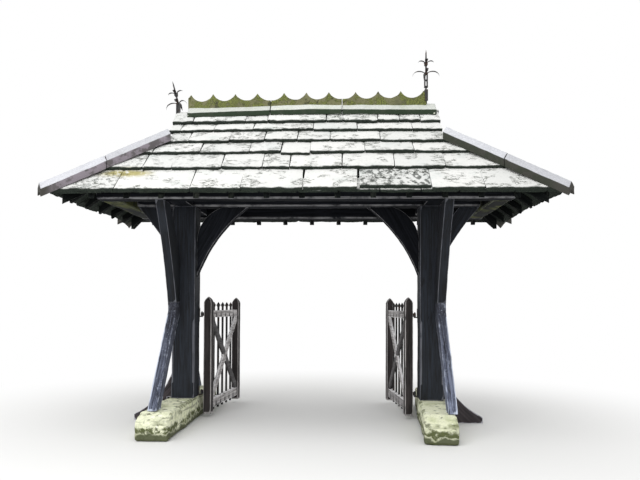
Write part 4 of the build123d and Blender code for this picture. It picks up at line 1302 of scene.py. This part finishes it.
# by course and number: how far up or down it has slid, what its left joint has opened, and its moss
front_slipped = {(0, 5): (0.032, 0.020, 1.6), (2, 4): (-0.034, 0.0, 0.1)}
lay_slope("front", rng, set_joints=front_joints, slipped=front_slipped, left_overhang=0.045, **long_slope)
lay_slope("back", rng, **long_slope)
lay_slope("right", rng, **short_slope)
lay_slope("left", rng, **short_slope)

# %% [markdown]
# ## Floor, light and camera
# A pale floor that fades into a white background, a soft light from above and in front, and the camera at
# the photograph's angle.

# %% Floor
def background_rays(tree):
    # 1 for the rays that show the background, and 0 for those that light the object
    rays = shader_node(tree, "LightPath").outputs
    return either(rays["Is Camera Ray"], either(rays["Is Glossy Ray"], rays["Is Transmission Ray"]))


floor_size = 60.0
fade_from, fade_to = 2.5, 6.0
white = colour(1, 1, 1)
floor_shape = bmesh.new()
bmesh.ops.create_grid(floor_shape, x_segments=1, y_segments=1, size=floor_size / 2)
floor_mesh = bpy.data.meshes.new("floor")
floor_shape.to_mesh(floor_mesh)
floor_shape.free()
floor = bpy.data.objects.new("floor", floor_mesh)
bpy.context.scene.collection.objects.link(floor)
floor_finish = bpy.data.materials.new("floor")
floor_finish.use_nodes = True
tree = floor_finish.node_tree
tree.nodes.clear()
matt = shader_node(tree, "BsdfDiffuse", {"Color": colour(0.80, 0.80, 0.79)}).outputs[0]
glow = shader_node(tree, "Emission", {"Color": white, "Strength": 1.0}).outputs[0]
far = shader_node(tree, "VectorMath", {0: place(tree)}, operation="LENGTH").outputs["Value"]
fade = times(background_rays(tree), spread(far, fade_from, fade_to))
mixed = shader_node(tree, "MixShader", {0: fade, 1: matt, 2: glow}).outputs[0]
feed(tree, tree.nodes.new("ShaderNodeOutputMaterial").inputs[0], mixed)
floor_mesh.materials.append(floor_finish)

# %% World and lamps
scene = bpy.context.scene
scene.view_settings.view_transform = "Standard"
scene.world = bpy.data.worlds.new("sky")
scene.world.use_nodes = True
tree = scene.world.node_tree
tree.nodes.clear()
strength = spread(background_rays(tree), 0.0, 1.0, 0.92, 1.0)
sky = shader_node(tree, "Background", {"Color": white, "Strength": strength}).outputs[0]
feed(tree, tree.nodes.new("ShaderNodeOutputWorld").inputs[0], sky)


def add_area(name, size, watts, position, target):
    lamp = bpy.data.lights.new(name, "AREA")
    lamp.shape = "RECTANGLE"
    lamp.size, lamp.size_y = size
    lamp.energy = watts
    holder = bpy.data.objects.new(name, lamp)
    holder.location = position
    holder.rotation_euler = (Vector(target) - Vector(position)).to_track_quat("-Z", "Y").to_euler()
    scene.collection.objects.link(holder)


add_area("overhead", (9.0, 7.0), 300.0, (-1.5, -4.0, 9.0), (0.0, 0.0, 2.2))
add_area("front_fill", (6.0, 4.0), 190.0, (-3.0, -8.0, 4.0), (0.0, 0.0, 0.6))

# %% Camera
# the eye's place is measured from the middle of the roof; 600 pixels of focal length on a picture 640 wide
eye = Vector((0.4216, -7.3599 + middle_y, 1.42))
yaw, pitch, roll = radians(2.07), radians(1.15), radians(0.23)
picture_width, focal_pixels, raised_pixels = 640, 600, 52.54
ahead = Vector((-sin(yaw) * cos(pitch), cos(yaw) * cos(pitch), sin(pitch)))
level_right = Vector((cos(yaw), sin(yaw), 0))
level_up = level_right.cross(ahead)
right_way = level_right * cos(roll) + level_up * sin(roll)
up_way = level_up * cos(roll) - level_right * sin(roll)
lens = bpy.data.cameras.new("camera")
lens.sensor_width = 36.0
lens.lens = lens.sensor_width * focal_pixels / picture_width
lens.shift_y = raised_pixels / picture_width
camera = bpy.data.objects.new("camera", lens)
turned = Matrix((right_way, up_way, -ahead)).transposed().to_4x4()
turned.translation = eye
camera.matrix_world = turned
scene.collection.objects.link(camera)
scene.camera = camera
